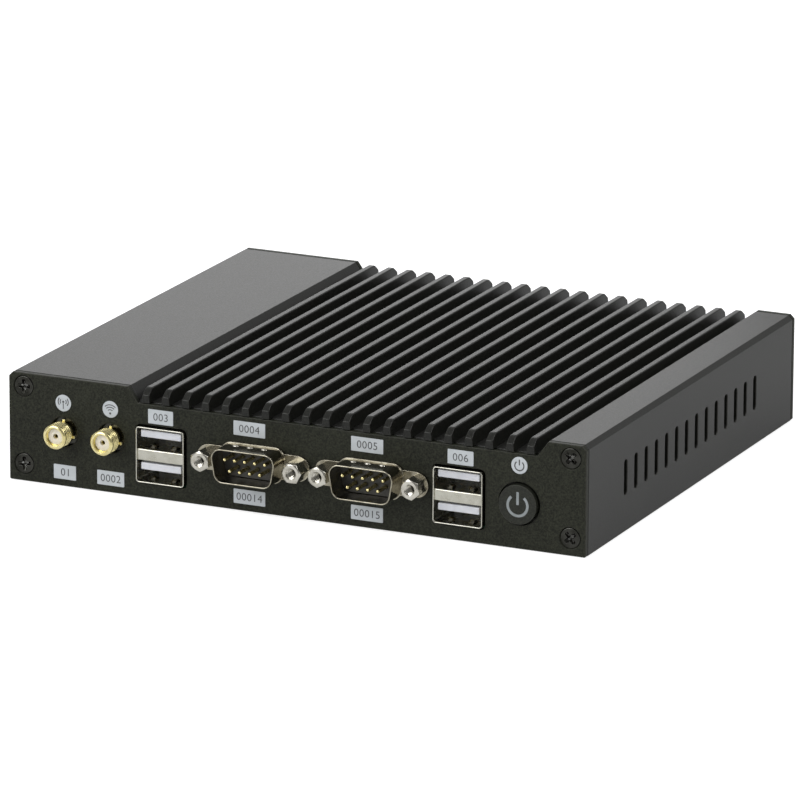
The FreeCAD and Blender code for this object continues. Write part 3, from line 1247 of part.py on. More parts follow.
def lan_shell(x):
    """The metal shell of a network socket, open to the rear."""
    centre = BOARD_TOP + LAN_HEIGHT / 2
    outer = round_block(x, centre, LAN_WIDTH, LAN_HEIGHT, 0, REAR_FACE - LAN_DEPTH, REAR_FACE)
    hollow = round_block(x, centre, LAN_WIDTH - 2 * LAN_WALL, LAN_HEIGHT - 2 * LAN_WALL, 0,
                         REAR_FACE - LAN_DEPTH + LAN_WALL, REAR_FACE)
    return cut(outer, [hollow])


def lan_wires(x):
    """The eight spring wires under the roof of a network socket."""
    roof = BOARD_TOP + LAN_CAVITY_LIFT + LAN_CAVITY_HEIGHT
    back = REAR_FACE - LAN_CAVITY_DEPTH
    wires = []
    for index in range(LAN_WIRE_COUNT):
        middle = x + (index - (LAN_WIRE_COUNT - 1) / 2) * LAN_WIRE_PITCH
        wires.append(side_prism([(back, roof - LAN_WIRE_DROP - LAN_WIRE), (back, roof - LAN_WIRE_DROP),
                                 (REAR_FACE - LAN_WIRE_FROM_MOUTH, roof),
                                 (REAR_FACE - LAN_WIRE_FROM_MOUTH + 2 * LAN_WIRE, roof)],
                                middle - LAN_WIRE / 2, middle + LAN_WIRE / 2))
    return wires


def lan_insert(x):
    """The plastic body inside a network socket, with the plug's cavity and latch slot."""
    half = LAN_WIDTH / 2 - LAN_WALL - FIT_GAP
    low = BOARD_TOP + LAN_WALL + FIT_GAP
    high = BOARD_TOP + LAN_HEIGHT - LAN_WALL - FIT_GAP
    mouth = REAR_FACE - LOOSE_GAP
    body = box(x - half, x + half, REAR_FACE - LAN_DEPTH + LAN_WALL + FIT_GAP, mouth, low, high)
    floor = BOARD_TOP + LAN_CAVITY_LIFT
    back = REAR_FACE - LAN_CAVITY_DEPTH
    cavity = box(x - LAN_CAVITY_WIDTH / 2, x + LAN_CAVITY_WIDTH / 2, back, REAR_FACE,
                 floor, floor + LAN_CAVITY_HEIGHT)
    latch = box(x - LAN_LATCH_WIDTH / 2, x + LAN_LATCH_WIDTH / 2, back, REAR_FACE,
                floor - LAN_LATCH_HEIGHT, floor)
    return cut(body, [cavity, latch])


def sound_socket():
    """The round sound socket, whose nose passes the rear panel."""
    x = SOUND_X
    z = BOARD_TOP + SOUND_HEIGHT / 2
    back = BOARD_REAR - SOUND_DEPTH
    half = SOUND_WIDTH / 2
    block = box(x - half, x + half, back, BOARD_REAR, BOARD_TOP, BOARD_TOP + SOUND_HEIGHT)
    nose = rod_y(x, z, SOUND_NOSE_RADIUS, BOARD_REAR, REAR_FACE)
    bore = rod_y(x, z, SOUND_BORE_RADIUS, REAR_FACE - SOUND_BORE_DEPTH, REAR_FACE)
    return cut(fuse([block, nose]), [bore])


def processor():
    """The processor package: substrate with a metal lid."""
    x = PROCESSOR_X
    y = PROCESSOR_Y
    lid_bottom = BOARD_TOP + SUBSTRATE_THICKNESS
    substrate = box(x - PROCESSOR_WIDTH / 2, x + PROCESSOR_WIDTH / 2, y - PROCESSOR_LENGTH / 2,
                    y + PROCESSOR_LENGTH / 2, BOARD_TOP, lid_bottom)
    lid = box(x - PROCESSOR_WIDTH / 2 + LID_INSET, x + PROCESSOR_WIDTH / 2 - LID_INSET,
              y - PROCESSOR_LENGTH / 2 + LID_INSET, y + PROCESSOR_LENGTH / 2 - LID_INSET,
              lid_bottom, lid_bottom + LID_THICKNESS)
    return fuse([substrate, lid])


def thermal_pad():
    """The soft pad between the processor and the heat block."""
    x = PROCESSOR_X
    y = PROCESSOR_Y
    half_width = PROCESSOR_WIDTH / 2 - LID_INSET
    half_length = PROCESSOR_LENGTH / 2 - LID_INSET
    return box(x - half_width, x + half_width, y - half_length, y + half_length,
               BLOCK_BOTTOM - PAD_THICKNESS, BLOCK_BOTTOM)


def heat_block():
    """The aluminium block that carries heat from the pad to the roof."""
    x = PROCESSOR_X
    y = PROCESSOR_Y
    half = BLOCK_SIZE / 2
    block = box(x - half, x + half, y - half, y + half, BLOCK_BOTTOM, ROOF_UNDERSIDE)
    holes = []
    for hole_x, hole_y in block_screw_places():
        holes.append(rod_z(hole_x, hole_y, SCREW_RADIUS + LOOSE_GAP, BLOCK_BOTTOM, ROOF_UNDERSIDE))
        holes.append(rod_z(hole_x, hole_y, BLOCK_COUNTERBORE_RADIUS, BLOCK_BOTTOM,
                           BLOCK_BOTTOM + BLOCK_COUNTERBORE_DEPTH))
    return cut(block, holes)


def heat_block_screws():
    """The four socket head screws that pull the heat block up against the roof."""
    seat = BLOCK_BOTTOM + BLOCK_COUNTERBORE_DEPTH
    screws = []
    for x, y in block_screw_places():
        head = rod_z(x, y, BLOCK_SCREW_HEAD_RADIUS, seat - BLOCK_SCREW_HEAD_HEIGHT, seat)
        shank = rod_z(x, y, SCREW_RADIUS - FIT_GAP, seat, ROOF_UNDERSIDE + BLOCK_SCREW_ENTRY - LOOSE_GAP)
        recess = rod_z(x, y, BLOCK_SCREW_SOCKET_RADIUS, seat - BLOCK_SCREW_HEAD_HEIGHT,
                       seat - BLOCK_SCREW_HEAD_HEIGHT + BLOCK_SCREW_RECESS)
        screws.append(cut(fuse([head, shank]), [recess]))
    return Part.makeCompound(screws)


def memory_module():
    """The memory module: a small board with chips on its upper side."""
    low = BOARD_TOP + MEMORY_LIFT
    high = low + CARD_BOARD_THICKNESS
    pieces = [box(MEMORY_X, MEMORY_X + MEMORY_WIDTH, MEMORY_FROM_FRONT, MEMORY_FROM_FRONT + MEMORY_LENGTH,
                  low, high)]
    step = MEMORY_LENGTH / MEMORY_CHIP_COUNT
    chip_x = MEMORY_X + MEMORY_WIDTH - MEMORY_CHIP_FROM_EDGE - MEMORY_CHIP_WIDTH
    for index in range(MEMORY_CHIP_COUNT):
        start = MEMORY_FROM_FRONT + step * index + MEMORY_CHIP_GAP / 2
        pieces.append(box(chip_x, chip_x + MEMORY_CHIP_WIDTH, start, start + step - MEMORY_CHIP_GAP,
                          high, high + MEMORY_CHIP_THICKNESS))
    return fuse(pieces)


def memory_socket():
    """The socket that grips one long edge of the module, with an arm at each end."""
    top = BOARD_TOP + SOCKET_HEIGHT
    grip = MEMORY_X + SOCKET_GRIP
    front = MEMORY_FROM_FRONT - FIT_GAP
    rear = MEMORY_FROM_FRONT + MEMORY_LENGTH + FIT_GAP
    bar = box(grip - SOCKET_DEPTH, grip, front - SOCKET_ARM_WIDTH, rear + SOCKET_ARM_WIDTH, BOARD_TOP, top)
    arms = [box(grip, grip + SOCKET_ARM_LENGTH, front - SOCKET_ARM_WIDTH, front, BOARD_TOP, top),
            box(grip, grip + SOCKET_ARM_LENGTH, rear, rear + SOCKET_ARM_WIDTH, BOARD_TOP, top)]
    low = BOARD_TOP + MEMORY_LIFT
    slot = box(MEMORY_X, grip, front, rear, low, low + CARD_BOARD_THICKNESS)
    return cut(fuse([bar] + arms), [slot])


def expansion_card(x, front, length, chip_count):
    """A small card: board with a screw notch at its free end and a row of chips on top."""
    high = CARD_Z + CARD_BOARD_THICKNESS
    board = box(x - CARD_WIDTH / 2, x + CARD_WIDTH / 2, front, front + length, CARD_Z, high)
    board = board.cut(rod_z(x, front + length, CARD_NOTCH_RADIUS, CARD_Z, high))
    pieces = [board]
    half = CARD_WIDTH / 2 - CARD_CHIP_INSET
    step = (length - CARD_CHIP_FIRST - CARD_CHIP_LAST + CARD_CHIP_GAP) / chip_count
    for index in range(chip_count):
        start = front + CARD_CHIP_FIRST + step * index
        pieces.append(box(x - half, x + half, start, start + step - CARD_CHIP_GAP, high,
                          high + CARD_CHIP_THICKNESS))
    return fuse(pieces)


def card_socket(x, front):
    """The edge socket at the front of a card."""
    half = CARD_WIDTH / 2 + CARD_SOCKET_MARGIN
    grip = front + SOCKET_GRIP
    block = box(x - half, x + half, grip - SOCKET_DEPTH, grip, BOARD_TOP, BOARD_TOP + SOCKET_HEIGHT)
    slot = box(x - CARD_WIDTH / 2 - FIT_GAP, x + CARD_WIDTH / 2 + FIT_GAP, front, grip,
               CARD_Z, CARD_Z + CARD_BOARD_THICKNESS)
    return cut(block, [slot])


def card_standoffs():
    """The posts that carry the free ends of the two cards."""
    posts = []
    for x, y in card_post_places():
        post = rod_z(x, y, CARD_POST_RADIUS, BOARD_TOP, CARD_Z)
        posts.append(post.cut(rod_z(x, y, BOARD_SCREW_RADIUS, BOARD_TOP, CARD_Z)))
    return Part.makeCompound(posts)


def card_screws():
    """The screws that hold the free ends of the two cards."""
    return Part.makeCompound([pan_screw(x, y, BOARD_SCREW_RADIUS - FIT_GAP, CARD_SCREW_HEAD_RADIUS,
                                        CARD_SCREW_HEAD_HEIGHT, BOARD_TOP, CARD_Z + CARD_BOARD_THICKNESS)
                              for x, y in card_post_places()])


def cell_holder():
    """The low plastic cup that holds the clock cell."""
    x = CELL_X
    y = CELL_Y
    rim = BOARD_TOP + HOLDER_FLOOR + HOLDER_RIM
    half = HOLDER_NOTCH_WIDTH / 2
    cup = rod_z(x, y, HOLDER_RADIUS, BOARD_TOP, rim)
    pocket = rod_z(x, y, CELL_RADIUS + LOOSE_GAP, BOARD_TOP + HOLDER_FLOOR, rim)
    notch = box(x - half, x + half, y, y + HOLDER_RADIUS, BOARD_TOP + HOLDER_FLOOR, rim)
    return cut(cup, [pocket, notch])


def clock_cell():
    """The round clock cell, with its bevelled upper edge."""
    low = BOARD_TOP + HOLDER_FLOOR
    cell = rod_z(CELL_X, CELL_Y, CELL_RADIUS, low, low + CELL_THICKNESS)
    edges = [edge for edge in cell.Edges if abs(edge.BoundBox.ZMin - low - CELL_THICKNESS) < TOUCH]
    return cell.makeChamfer(CELL_BEVEL, edges)


def power_coils():
    """The row of square coils behind the heat block."""
    front = PROCESSOR_Y + BLOCK_SIZE / 2 + COIL_FROM_BLOCK
    coils = []
    for index in range(COIL_COUNT):
        x = PROCESSOR_X + (index - (COIL_COUNT - 1) / 2) * COIL_PITCH
        coils.append(box(x - COIL_SIZE / 2, x + COIL_SIZE / 2, front, front + COIL_SIZE,
                         BOARD_TOP, BOARD_TOP + COIL_HEIGHT))
    return Part.makeCompound(coils)


def capacitors():
    """The row of round capacitors in front of the heat block."""
    y = PROCESSOR_Y - BLOCK_SIZE / 2 - CAPACITOR_FROM_BLOCK
    last = BLOCK_RIGHT - CAPACITOR_INSET - CAPACITOR_RADIUS
    cans = []
    for index in range(CAPACITOR_COUNT):
        x = last - index * CAPACITOR_PITCH
        can = rod_z(x, y, CAPACITOR_RADIUS, BOARD_TOP, BOARD_TOP + CAPACITOR_HEIGHT)
        top = [edge for edge in can.Edges if abs(edge.BoundBox.ZMin - BOARD_TOP - CAPACITOR_HEIGHT) < TOUCH]
        cans.append(can.makeFillet(PANEL_EDGE_BREAK, top))
    return Part.makeCompound(cans)


def controller_chips():
    """One controller chip behind each serial connector and before each network socket."""
    high = BOARD_TOP + CHIP_HEIGHT
    half = CHIP_SIZE / 2
    chips = []
    for x in SERIAL_XS:
        chips.append(box(x - half, x + half, SERIAL_CHIP_FRONT, SERIAL_CHIP_FRONT + CHIP_SIZE,
                         BOARD_TOP, high))
    for x in LAN_XS:
        chips.append(box(x - half, x + half, LAN_CHIP_REAR - CHIP_SIZE, LAN_CHIP_REAR, BOARD_TOP, high))
    return Part.makeCompound(chips)


def save(name, shape):
    """Write one sub-part, with the origin under the middle of the case."""
    placed = shape.copy()
    placed.translate(Vector(-WIDTH / 2, -DEPTH / 2, 0))
    if not placed.isValid():
        print("not valid:", name)
    print(f"{name}: {len(placed.Solids)} solids, {placed.Volume:.1f} mm3")
    placed.exportStep(f"parts/{name}.step")


def main():
    """Build and write every sub-part."""
    os.makedirs("parts", exist_ok=True)
    save("housing", housing())
    save("front_panel", front_panel())
    save("rear_panel", rear_panel())
    save("bottom_cover", bottom_cover())
    save("front_panel_screws", panel_screws(face_front, 0, FRONT_SCREW_TURNS))
    save("rear_panel_screws", panel_screws(face_rear, DEPTH, REAR_SCREW_TURNS))
    save("bottom_cover_screws", cover_screws())
    save("front_labels", front_labels())

    for number, x in enumerate(ANTENNA_XS, 1):
        save(f"antenna_jack_{number}", antenna_jack(x))
    save("antenna_insulators", Part.makeCompound([antenna_insulator(x) for x in ANTENNA_XS]))
    save("antenna_contacts", Part.makeCompound([antenna_contact(x) for x in ANTENNA_XS]))
    save("antenna_rings", Part.makeCompound([antenna_ring(x) for x in ANTENNA_XS]))
    for number, x in enumerate(DATA_XS, 1):
        save(f"data_port_shell_{number}", data_shell(x))
        save(f"data_port_insulator_{number}", data_insulator(x))
    save("data_port_contacts", Part.makeCompound([strip for x in DATA_XS for strip in data_contacts(x)]))
    for number, x in enumerate(SERIAL_XS, 1):
        save(f"serial_shell_{number}", serial_shell(x))
        save(f"serial_insulator_{number}", serial_insulator(x))
    save("serial_pins", Part.makeCompound([pin for x in SERIAL_XS for pin in serial_pins(x)]))
    save("jackscrews",
         Part.makeCompound([jackscrew(x, turn) for x, turn in zip(JACKSCREW_XS, JACKSCREW_TURNS)]))
    save("jackscrew_nuts", Part.makeCompound([jackscrew_nut(x) for x in JACKSCREW_XS]))
    save("power_button_cap", power_button_cap())
    save("power_button_body", power_button_body())
    save("power_button_spring", power_button_spring())
    save("contact_bridge", contact_bridge())
    save("switch_terminals", switch_terminals())

    save("inlet_body", inlet_body())
    save("inlet_pin", inlet_pin())
    save("video_shell", video_shell())
    save("video_insert", video_insert())
    for number, x in enumerate(LAN_XS, 1):
        save(f"lan_shell_{number}", lan_shell(x))
        save(f"lan_insert_{number}", lan_insert(x))
    save("lan_contacts", Part.makeCompound([wire for x in LAN_XS for wire in lan_wires(x)]))
    save("sound_socket", sound_socket())

    save("mainboard", mainboard())
    save("board_standoffs", board_standoffs())
    save("board_screws", board_screws())
    save("processor", processor())
    save("thermal_pad", thermal_pad())
    save("heat_block", heat_block())
    save("heat_block_screws", heat_block_screws())
    save("memory_module", memory_module())
    save("memory_socket", memory_socket())
    save("storage_card",
         expansion_card(STORAGE_X, STORAGE_FROM_FRONT, STORAGE_LENGTH, STORAGE_CHIP_COUNT))
    save("storage_socket", card_socket(STORAGE_X, STORAGE_FROM_FRONT))
    save("wireless_card",
         expansion_card(WIRELESS_X, WIRELESS_FROM_FRONT, WIRELESS_LENGTH, WIRELESS_CHIP_COUNT))
    save("wireless_socket", card_socket(WIRELESS_X, WIRELESS_FROM_FRONT))
    save("card_standoffs", card_standoffs())
    save("card_screws", card_screws())
    save("clock_cell", clock_cell())
    save("cell_holder", cell_holder())
    save("power_coils", power_coils())
    save("capacitors", capacitors())
    save("controller_chips", controller_chips())


main()
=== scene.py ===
# %% [markdown]
# A small fanless computer in a finned aluminium case.
#
# The CAD model is already the right size and in the right place. Each cell below dresses one
# piece of it: softened edges, threads and fine relief as meshes, then paint, plating and plastic
# as node based materials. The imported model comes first, because every place is read from it.

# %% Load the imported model
import bmesh
import bpy
import json
import math
import numpy as np
from mathutils import Matrix, Vector
from mathutils.geometry import tessellate_polygon

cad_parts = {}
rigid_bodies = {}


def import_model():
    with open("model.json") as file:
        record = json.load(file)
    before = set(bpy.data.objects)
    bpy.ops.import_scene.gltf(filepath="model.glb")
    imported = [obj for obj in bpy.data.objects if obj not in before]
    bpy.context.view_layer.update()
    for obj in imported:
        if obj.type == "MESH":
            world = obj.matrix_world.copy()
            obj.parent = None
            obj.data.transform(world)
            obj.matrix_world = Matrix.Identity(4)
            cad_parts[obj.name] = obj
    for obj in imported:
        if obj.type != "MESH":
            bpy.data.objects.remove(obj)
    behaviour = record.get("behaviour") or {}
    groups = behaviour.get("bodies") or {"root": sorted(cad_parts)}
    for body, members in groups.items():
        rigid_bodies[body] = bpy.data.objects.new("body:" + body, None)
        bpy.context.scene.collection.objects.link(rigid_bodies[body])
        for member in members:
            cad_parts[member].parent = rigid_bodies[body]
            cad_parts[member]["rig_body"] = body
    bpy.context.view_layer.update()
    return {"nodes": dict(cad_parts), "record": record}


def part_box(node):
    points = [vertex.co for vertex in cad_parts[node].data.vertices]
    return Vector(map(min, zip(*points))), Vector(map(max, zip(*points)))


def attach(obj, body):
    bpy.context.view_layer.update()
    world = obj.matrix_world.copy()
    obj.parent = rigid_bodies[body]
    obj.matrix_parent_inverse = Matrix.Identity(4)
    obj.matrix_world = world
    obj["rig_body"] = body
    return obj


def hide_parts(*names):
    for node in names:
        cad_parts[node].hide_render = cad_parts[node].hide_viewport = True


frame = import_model()

# %% [markdown]
# The frame is in metres with its origin under the middle of the case. A maker reads such a case
# from its left front corner in millimetres, so the next cell defines that view of it: x to the
# right, y to the rear and z up. Sizes are then read from the nodes instead of being typed again.

# %% Case millimetres
CASE_LOW, CASE_HIGH = (np.array(corner) * 1000 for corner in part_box("housing"))
WIDTH, DEPTH, HEIGHT = CASE_HIGH - CASE_LOW
CASE_CORNER = np.array([CASE_LOW[0], CASE_LOW[1], 0.0])


def node_box(node):
    """Lowest and highest corner of a CAD node: metres times 1000, less the case's left front corner."""
    return [np.array(corner) * 1000 - CASE_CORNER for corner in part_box(node)]


def node_middle(node):
    """Half of the sum of a node's two corners."""
    low, high = node_box(node)
    return (low + high) / 2


print("case:", np.round([WIDTH, DEPTH, HEIGHT], 2), "mm")

# %% [markdown]
# The photograph was taken from the right and a little above, with a long lens. The camera's
# place and turn were worked out from the corners of the case in it. A long lens keeps the far
# end of the fins nearly as wide as the near end, which a short lens would not.

# %% Camera
CAMERA_PLACE = Vector((0.75684, -1.65207, 0.53084))
CAMERA_AZIMUTH = math.radians(24.672)
CAMERA_ELEVATION = math.radians(15.913)
CAMERA_ROLL = math.radians(0.2551)


def add_object(name, data):
    """A new object of the scene that carries the data."""
    made = bpy.data.objects.new(name, data)
    bpy.context.scene.collection.objects.link(made)
    return made


camera_data = bpy.data.cameras.new("photo_camera")
for setting, value in (("lens", 335.06), ("sensor_width", 36), ("clip_start", 0.05), ("clip_end", 20)):
    setattr(camera_data, setting, value)
camera = add_object("photo_camera", camera_data)
camera.matrix_world = (Matrix.Translation(CAMERA_PLACE) @ Matrix.Rotation(CAMERA_AZIMUTH, 4, "Z")
                       @ Matrix.Rotation(math.pi / 2 - CAMERA_ELEVATION, 4, "X")
                       @ Matrix.Rotation(CAMERA_ROLL, 4, "Z"))
bpy.context.scene.camera = camera
bpy.context.scene.view_settings.view_transform = "Standard"
print("camera distance:", round(CAMERA_PLACE.length, 3), "m")

# %% [markdown]
# Surround, floor and finishes are all made of shader nodes. A few small functions place a node
# and wire it in one line, so that each formula below reads from its inputs to its result.

# %% Node helpers
def add(tree, kind, inputs=None, output=0, **settings):
    """Place a node; each input is a socket to link or a value to set, and one of its outputs comes back."""
    node = tree.nodes.new("ShaderNode" + kind)
    for setting, value in settings.items():
        setattr(node, setting, value)
    for label, value in (inputs or {}).items():
        if isinstance(value, bpy.types.NodeSocket):
            tree.links.new(value, node.inputs[label])
        else:
            node.inputs[label].default_value = value
    return node.outputs[output] if len(node.outputs) else None


def calculate(tree, operation, first, second, clamp=False):
    """A Math node; each operand is a number or a socket."""
    return add(tree, "Math", {0: first, 1: second}, operation=operation, use_clamp=clamp)


def mix_colour(tree, factor, first, second):
    """first * (1 - factor) + second * factor, for colours; each is a socket or a colour."""
    return add(tree, "Mix", {0: factor, 6: first, 7: second}, 2, data_type="RGBA")


def spread_out(tree, value, low, high, bottom=0.0, top=1.0):
    """Stretch a mask so that low becomes the bottom value and high the top one, with smooth ends."""
    return add(tree, "MapRange", {"Value": value, "From Min": low, "From Max": high, "To Min": bottom,
                                  "To Max": top}, "Result", interpolation_type="SMOOTHSTEP")


def noise(tree, vector, scale, detail=2.0, roughness=0.5):
    """Fractal noise between 0 and 1, with `scale` cells per metre; the scale is a number or a socket."""
    return add(tree, "TexNoise", {"Vector": vector, "Scale": scale, "Detail": detail, "Roughness": roughness},
               "Fac")


def ray_kind(tree, name):
    """1 for rays of the named kind, else 0."""
    return add(tree, "LightPath", output=f"Is {name} Ray")


print("helpers for nodes are ready")

# %% [markdown]
# The case stands in a white surround that is open towards the camera, as a light tent is. Black
# satin paint shows almost nothing but what it mirrors, so the surround matters more than the
# lamps: the top mirrors the white wall behind it at a grazing angle and looks grey, while the
# front looks out of the tent's opening and stays dark. The camera itself sees plain white.

# %% World
SURROUND_LIGHT = 0.5
OPENING_SHADE = 0.3
WALL_SHADE = 0.75
OPENING_Y, WALL_Y = -0.75, 0.35


def white_surround():
    """White for camera and transmission rays; glossy ones find a shade that rises with the ray's Y."""
    world = bpy.data.worlds.new("white_surround")
    world.use_nodes = True
    tree = world.node_tree
    tree.nodes.clear()
    ahead = add(tree, "SeparateXYZ", {0: add(tree, "TexCoord", output="Generated")}, "Y")
    shade = spread_out(tree, ahead, OPENING_Y, WALL_Y, OPENING_SHADE, WALL_SHADE)
    plain = calculate(tree, "MAXIMUM", ray_kind(tree, "Camera"), ray_kind(tree, "Transmission"))
    seen = add(tree, "Background", {"Strength": calculate(tree, "MAXIMUM", plain, shade)})
    lit = add(tree, "Background", {"Color": (0.97, 0.98, 1, 1), "Strength": SURROUND_LIGHT})
    either = calculate(tree, "MAXIMUM", plain, ray_kind(tree, "Glossy"))
    add(tree, "OutputWorld", {"Surface": add(tree, "MixShader", {0: either, 1: lit, 2: seen})})
    return world


bpy.context.scene.world = white_surround()
print("surround light:", SURROUND_LIGHT)

# %% [markdown]
# Three soft lamps stand in for a studio's light boxes. The largest one hangs to the front
# left, so the case throws its soft shadow to the right rear, which is what the dark right wall
# mirrors. A small, weak one lifts the upper edges from behind, and one high on the right gives
# the connectors their bright flanks.

# %% Lamps
SOFT_BOXES = {  # name: (place, size, watts)
    "key_box": ((-0.55, -0.85, 0.6), 0.9, 10),
    "rear_box": ((-0.26, 0.49, 0.17), 0.3, 0.35),
    "side_box": ((0.62, -0.1, 0.68), 0.45, 3),
}

for name, (place, size, watts) in SOFT_BOXES.items():
    lamp_data = bpy.data.lights.new(name, "AREA")
    lamp_data.shape = "SQUARE"
    lamp_data.size = size
    lamp_data.energy = watts
    lamp = add_object(name, lamp_data)
    lamp.location = place
    lamp.rotation_euler = (-Vector(place)).to_track_quat("-Z", "Y").to_euler()
print("lamps:", list(SOFT_BOXES))

# %% [markdown]
# The floor is a plain pale sheet. A share of its colour is given to camera and mirror rays
# directly, so that it is as white as the surround, and the rest still takes light and shadow.

# %% Floor
FLOOR_SIZE = 12.0
FLOOR_DROP = 0.0002
FLOOR_SEEN = 0.68
FLOOR_MIRRORED = 0.25
FLOOR_BOUNCED = 0.25
FLOOR_LIT = 0.62


def floor_material():
    """Diffuse plus emission: seen * (camera or transmission ray) + mirrored * glossy + bounced * diffuse."""
    material = bpy.data.materials.new("pale_floor")
    material.use_nodes = True
    tree = material.node_tree
    tree.nodes.clear()
    plain = calculate(tree, "MAXIMUM", ray_kind(tree, "Camera"), ray_kind(tree, "Transmission"))
    seen = calculate(tree, "MULTIPLY", plain, FLOOR_SEEN)
    mirrored = calculate(tree, "MULTIPLY", ray_kind(tree, "Glossy"), FLOOR_MIRRORED)
    bounced = calculate(tree, "MULTIPLY", ray_kind(tree, "Diffuse"), FLOOR_BOUNCED)
    given = calculate(tree, "ADD", seen, calculate(tree, "ADD", mirrored, bounced))
    lit = add(tree, "BsdfDiffuse", {"Color": (FLOOR_LIT, FLOOR_LIT, FLOOR_LIT, 1)})
    both = add(tree, "AddShader", {0: lit, 1: add(tree, "Emission", {"Strength": given})})
    add(tree, "OutputMaterial", {"Surface": both})
    return material


floor_mesh = bpy.data.meshes.new("floor")
floor_mesh.from_pydata([(x * FLOOR_SIZE / 2, y * FLOOR_SIZE / 2, -FLOOR_DROP)
                        for x, y in ((-1, -1), (1, -1), (1, 1), (-1, 1))], [], [(0, 1, 2, 3)])
floor_mesh.materials.append(floor_material())
add_object("floor", floor_mesh)
print("floor:", FLOOR_SIZE, "m square")

# %% [markdown]
# Several finishes share the same small effects: a grain in the colour, an uneven gloss, a relief
# that catches the light, and edges where the finish is thinner and lighter, which is partly wear
# and partly a painted highlight. Each effect is a node group with named inputs and outputs, built
# once and placed in each material with its own values.
# The groups only give colours, masks and heights; the shader itself stays in the material.

# %% Group builder
def new_socket(group, label, way, kind):
    """A named input or output of a group, of the kind Vector, Color or Float."""
    return group.interface.new_socket(name=label, in_out=way, socket_type="NodeSocket" + kind)


def new_group(name, inputs, make):
    """A node group with a Vector and the inputs with their defaults; make returns its outputs by name."""
    group = bpy.data.node_groups.new(name, "ShaderNodeTree")
    new_socket(group, "Vector", "INPUT", "Vector")
    for label, default in inputs.items():
        kind = "Color" if isinstance(default, tuple) else "Float"
        new_socket(group, label, "INPUT", kind).default_value = default
    made = make(group, group.nodes.new("NodeGroupInput").outputs)
    for label in made:
        new_socket(group, label, "OUTPUT", "Color" if label == "Color" else "Float")
    leave = group.nodes.new("NodeGroupOutput")
    for label, socket in made.items():
        group.links.new(socket, leave.inputs[label])
    print("group:", name)
    return group


print("ready to build groups")


# %% [markdown]
# Powder paint is dust that melts on the metal, so it dries with a fine pebbled skin: tiny
# rounded grains a third of a millimetre across, with flecks a little lighter than the rest.
# One noise gives the flecks and the gloss, one the relief, and a coarse one soft clouds.

# %% Powder paint group
def powder(group, given):
    """Colour = dark to light by flecks and clouds; roughness = base + (flecks - 0.5) * spread."""
    vector, grains = given["Vector"], given["Grains per metre"]
    pebbles = noise(group, vector, grains, 2.0, 0.55)
    flecks = noise(group, vector, grains, 3.0, 0.7)
    clouds = spread_out(group, noise(group, vector, 45.0), 0.3, 0.7)
    fleck_share = calculate(group, "MULTIPLY", spread_out(group, flecks, 0.3, 0.72), 0.85)
    tone = calculate(group, "ADD", fleck_share, calculate(group, "MULTIPLY", clouds, 0.15), clamp=True)
    sway = calculate(group, "MULTIPLY", calculate(group, "SUBTRACT", flecks, 0.5), given["Gloss spread"])
    return {"Color": mix_colour(group, tone, given["Dark"], given["Light"]),
            "Roughness": calculate(group, "ADD", given["Base gloss"], sway, clamp=True), "Height": pebbles}


POWDER = new_group("powder_paint", {"Dark": (0.01, 0.01, 0.01, 1), "Light": (0.03, 0.03, 0.03, 1),
                                    "Grains per metre": 3200, "Base gloss": 0.4, "Gloss spread": 0.15}, powder)


# %% [markdown]
# A finish wears first where it is thinnest, along the rounded edges, and the lighter colour there
# is also a painted highlight on those edges. The meshes below carry an attribute which is 1 in the
# middle of a rounded edge and 0 on the flats, so this group only breaks that line up with noise and
# leaves the flats alone.

# %% Edge wear and painted highlight group
def wear_and_highlight(group, given):
    """Mask of edge wear and painted edge highlight = edge attribute * (0.25 + 0.75 * smooth step of noise) *
    amount.
    """
    wear_and_edge_light = add(group, "Attribute", output="Fac", attribute_name="wear_and_edge_light")
    patches = spread_out(group, noise(group, given["Vector"], 420.0, 3.0, 0.65), 0.3, 0.62)
    kept = calculate(group, "ADD", calculate(group, "MULTIPLY", patches, 0.75), 0.25)
    mask = calculate(group, "MULTIPLY", calculate(group, "MULTIPLY", wear_and_edge_light, kept), given["Amount"], clamp=True)
    return {"Mask": mask}


EDGE_WEAR_AND_HIGHLIGHT = new_group("edge_wear_and_highlight", {"Amount": 0.6}, wear_and_highlight)


# %% [markdown]
# Plated metal is never one flat colour: the plating is thicker in places, the sheet under it is
# drawn in one direction, and fingers and tools leave it duller in patches. This group gives
# two colours mixed by soft patches, a gloss that follows them, and fine drawn lines as relief.

# %% Plated metal group
def plating(group, given):
    """Noise stretched along Y makes drawn lines; a coarser noise makes the dull patches."""
    stretched = add(group, "Mapping", {"Vector": given["Vector"], "Scale": (1.0, 0.12, 1.0)})
    patches = spread_out(group, noise(group, given["Vector"], 380.0, 4.0, 0.6), 0.35, 0.7)
    sway = calculate(group, "MULTIPLY", patches, given["Gloss spread"])
    return {"Color": mix_colour(group, patches, given["Bright"], given["Dull"]),
            "Roughness": calculate(group, "ADD", given["Base gloss"], sway, clamp=True),
            "Height": noise(group, stretched, 9000.0, 3.0, 0.6)}


PLATING = new_group("plated_metal", {"Bright": (0.8, 0.8, 0.8, 1), "Dull": (0.5, 0.5, 0.5, 1),
                                     "Base gloss": 0.25, "Gloss spread": 0.25}, plating)


# %% [markdown]
# Moulded plastic copies the eroded steel of its mould: a very fine even matt, with slightly
# cloudy colour where the melt flowed. The labels are printed on a film with the same kind of
# evenness, so they share this group with a coarser scale.

# %% Moulded plastic group
def moulding(group, given):
    """Colour = body to flow by clouds; roughness = base + (fine noise - 0.5) * 0.12; height = fine noise."""
    fine = noise(group, given["Vector"], given["Grains per metre"])
    clouds = spread_out(group, noise(group, given["Vector"], 260.0, 3.0, 0.6), 0.35, 0.68)
    sway = calculate(group, "MULTIPLY", calculate(group, "SUBTRACT", fine, 0.5), 0.12)
    return {"Color": mix_colour(group, clouds, given["Body"], given["Flow"]),
            "Roughness": calculate(group, "ADD", given["Base gloss"], sway, clamp=True), "Height": fine}


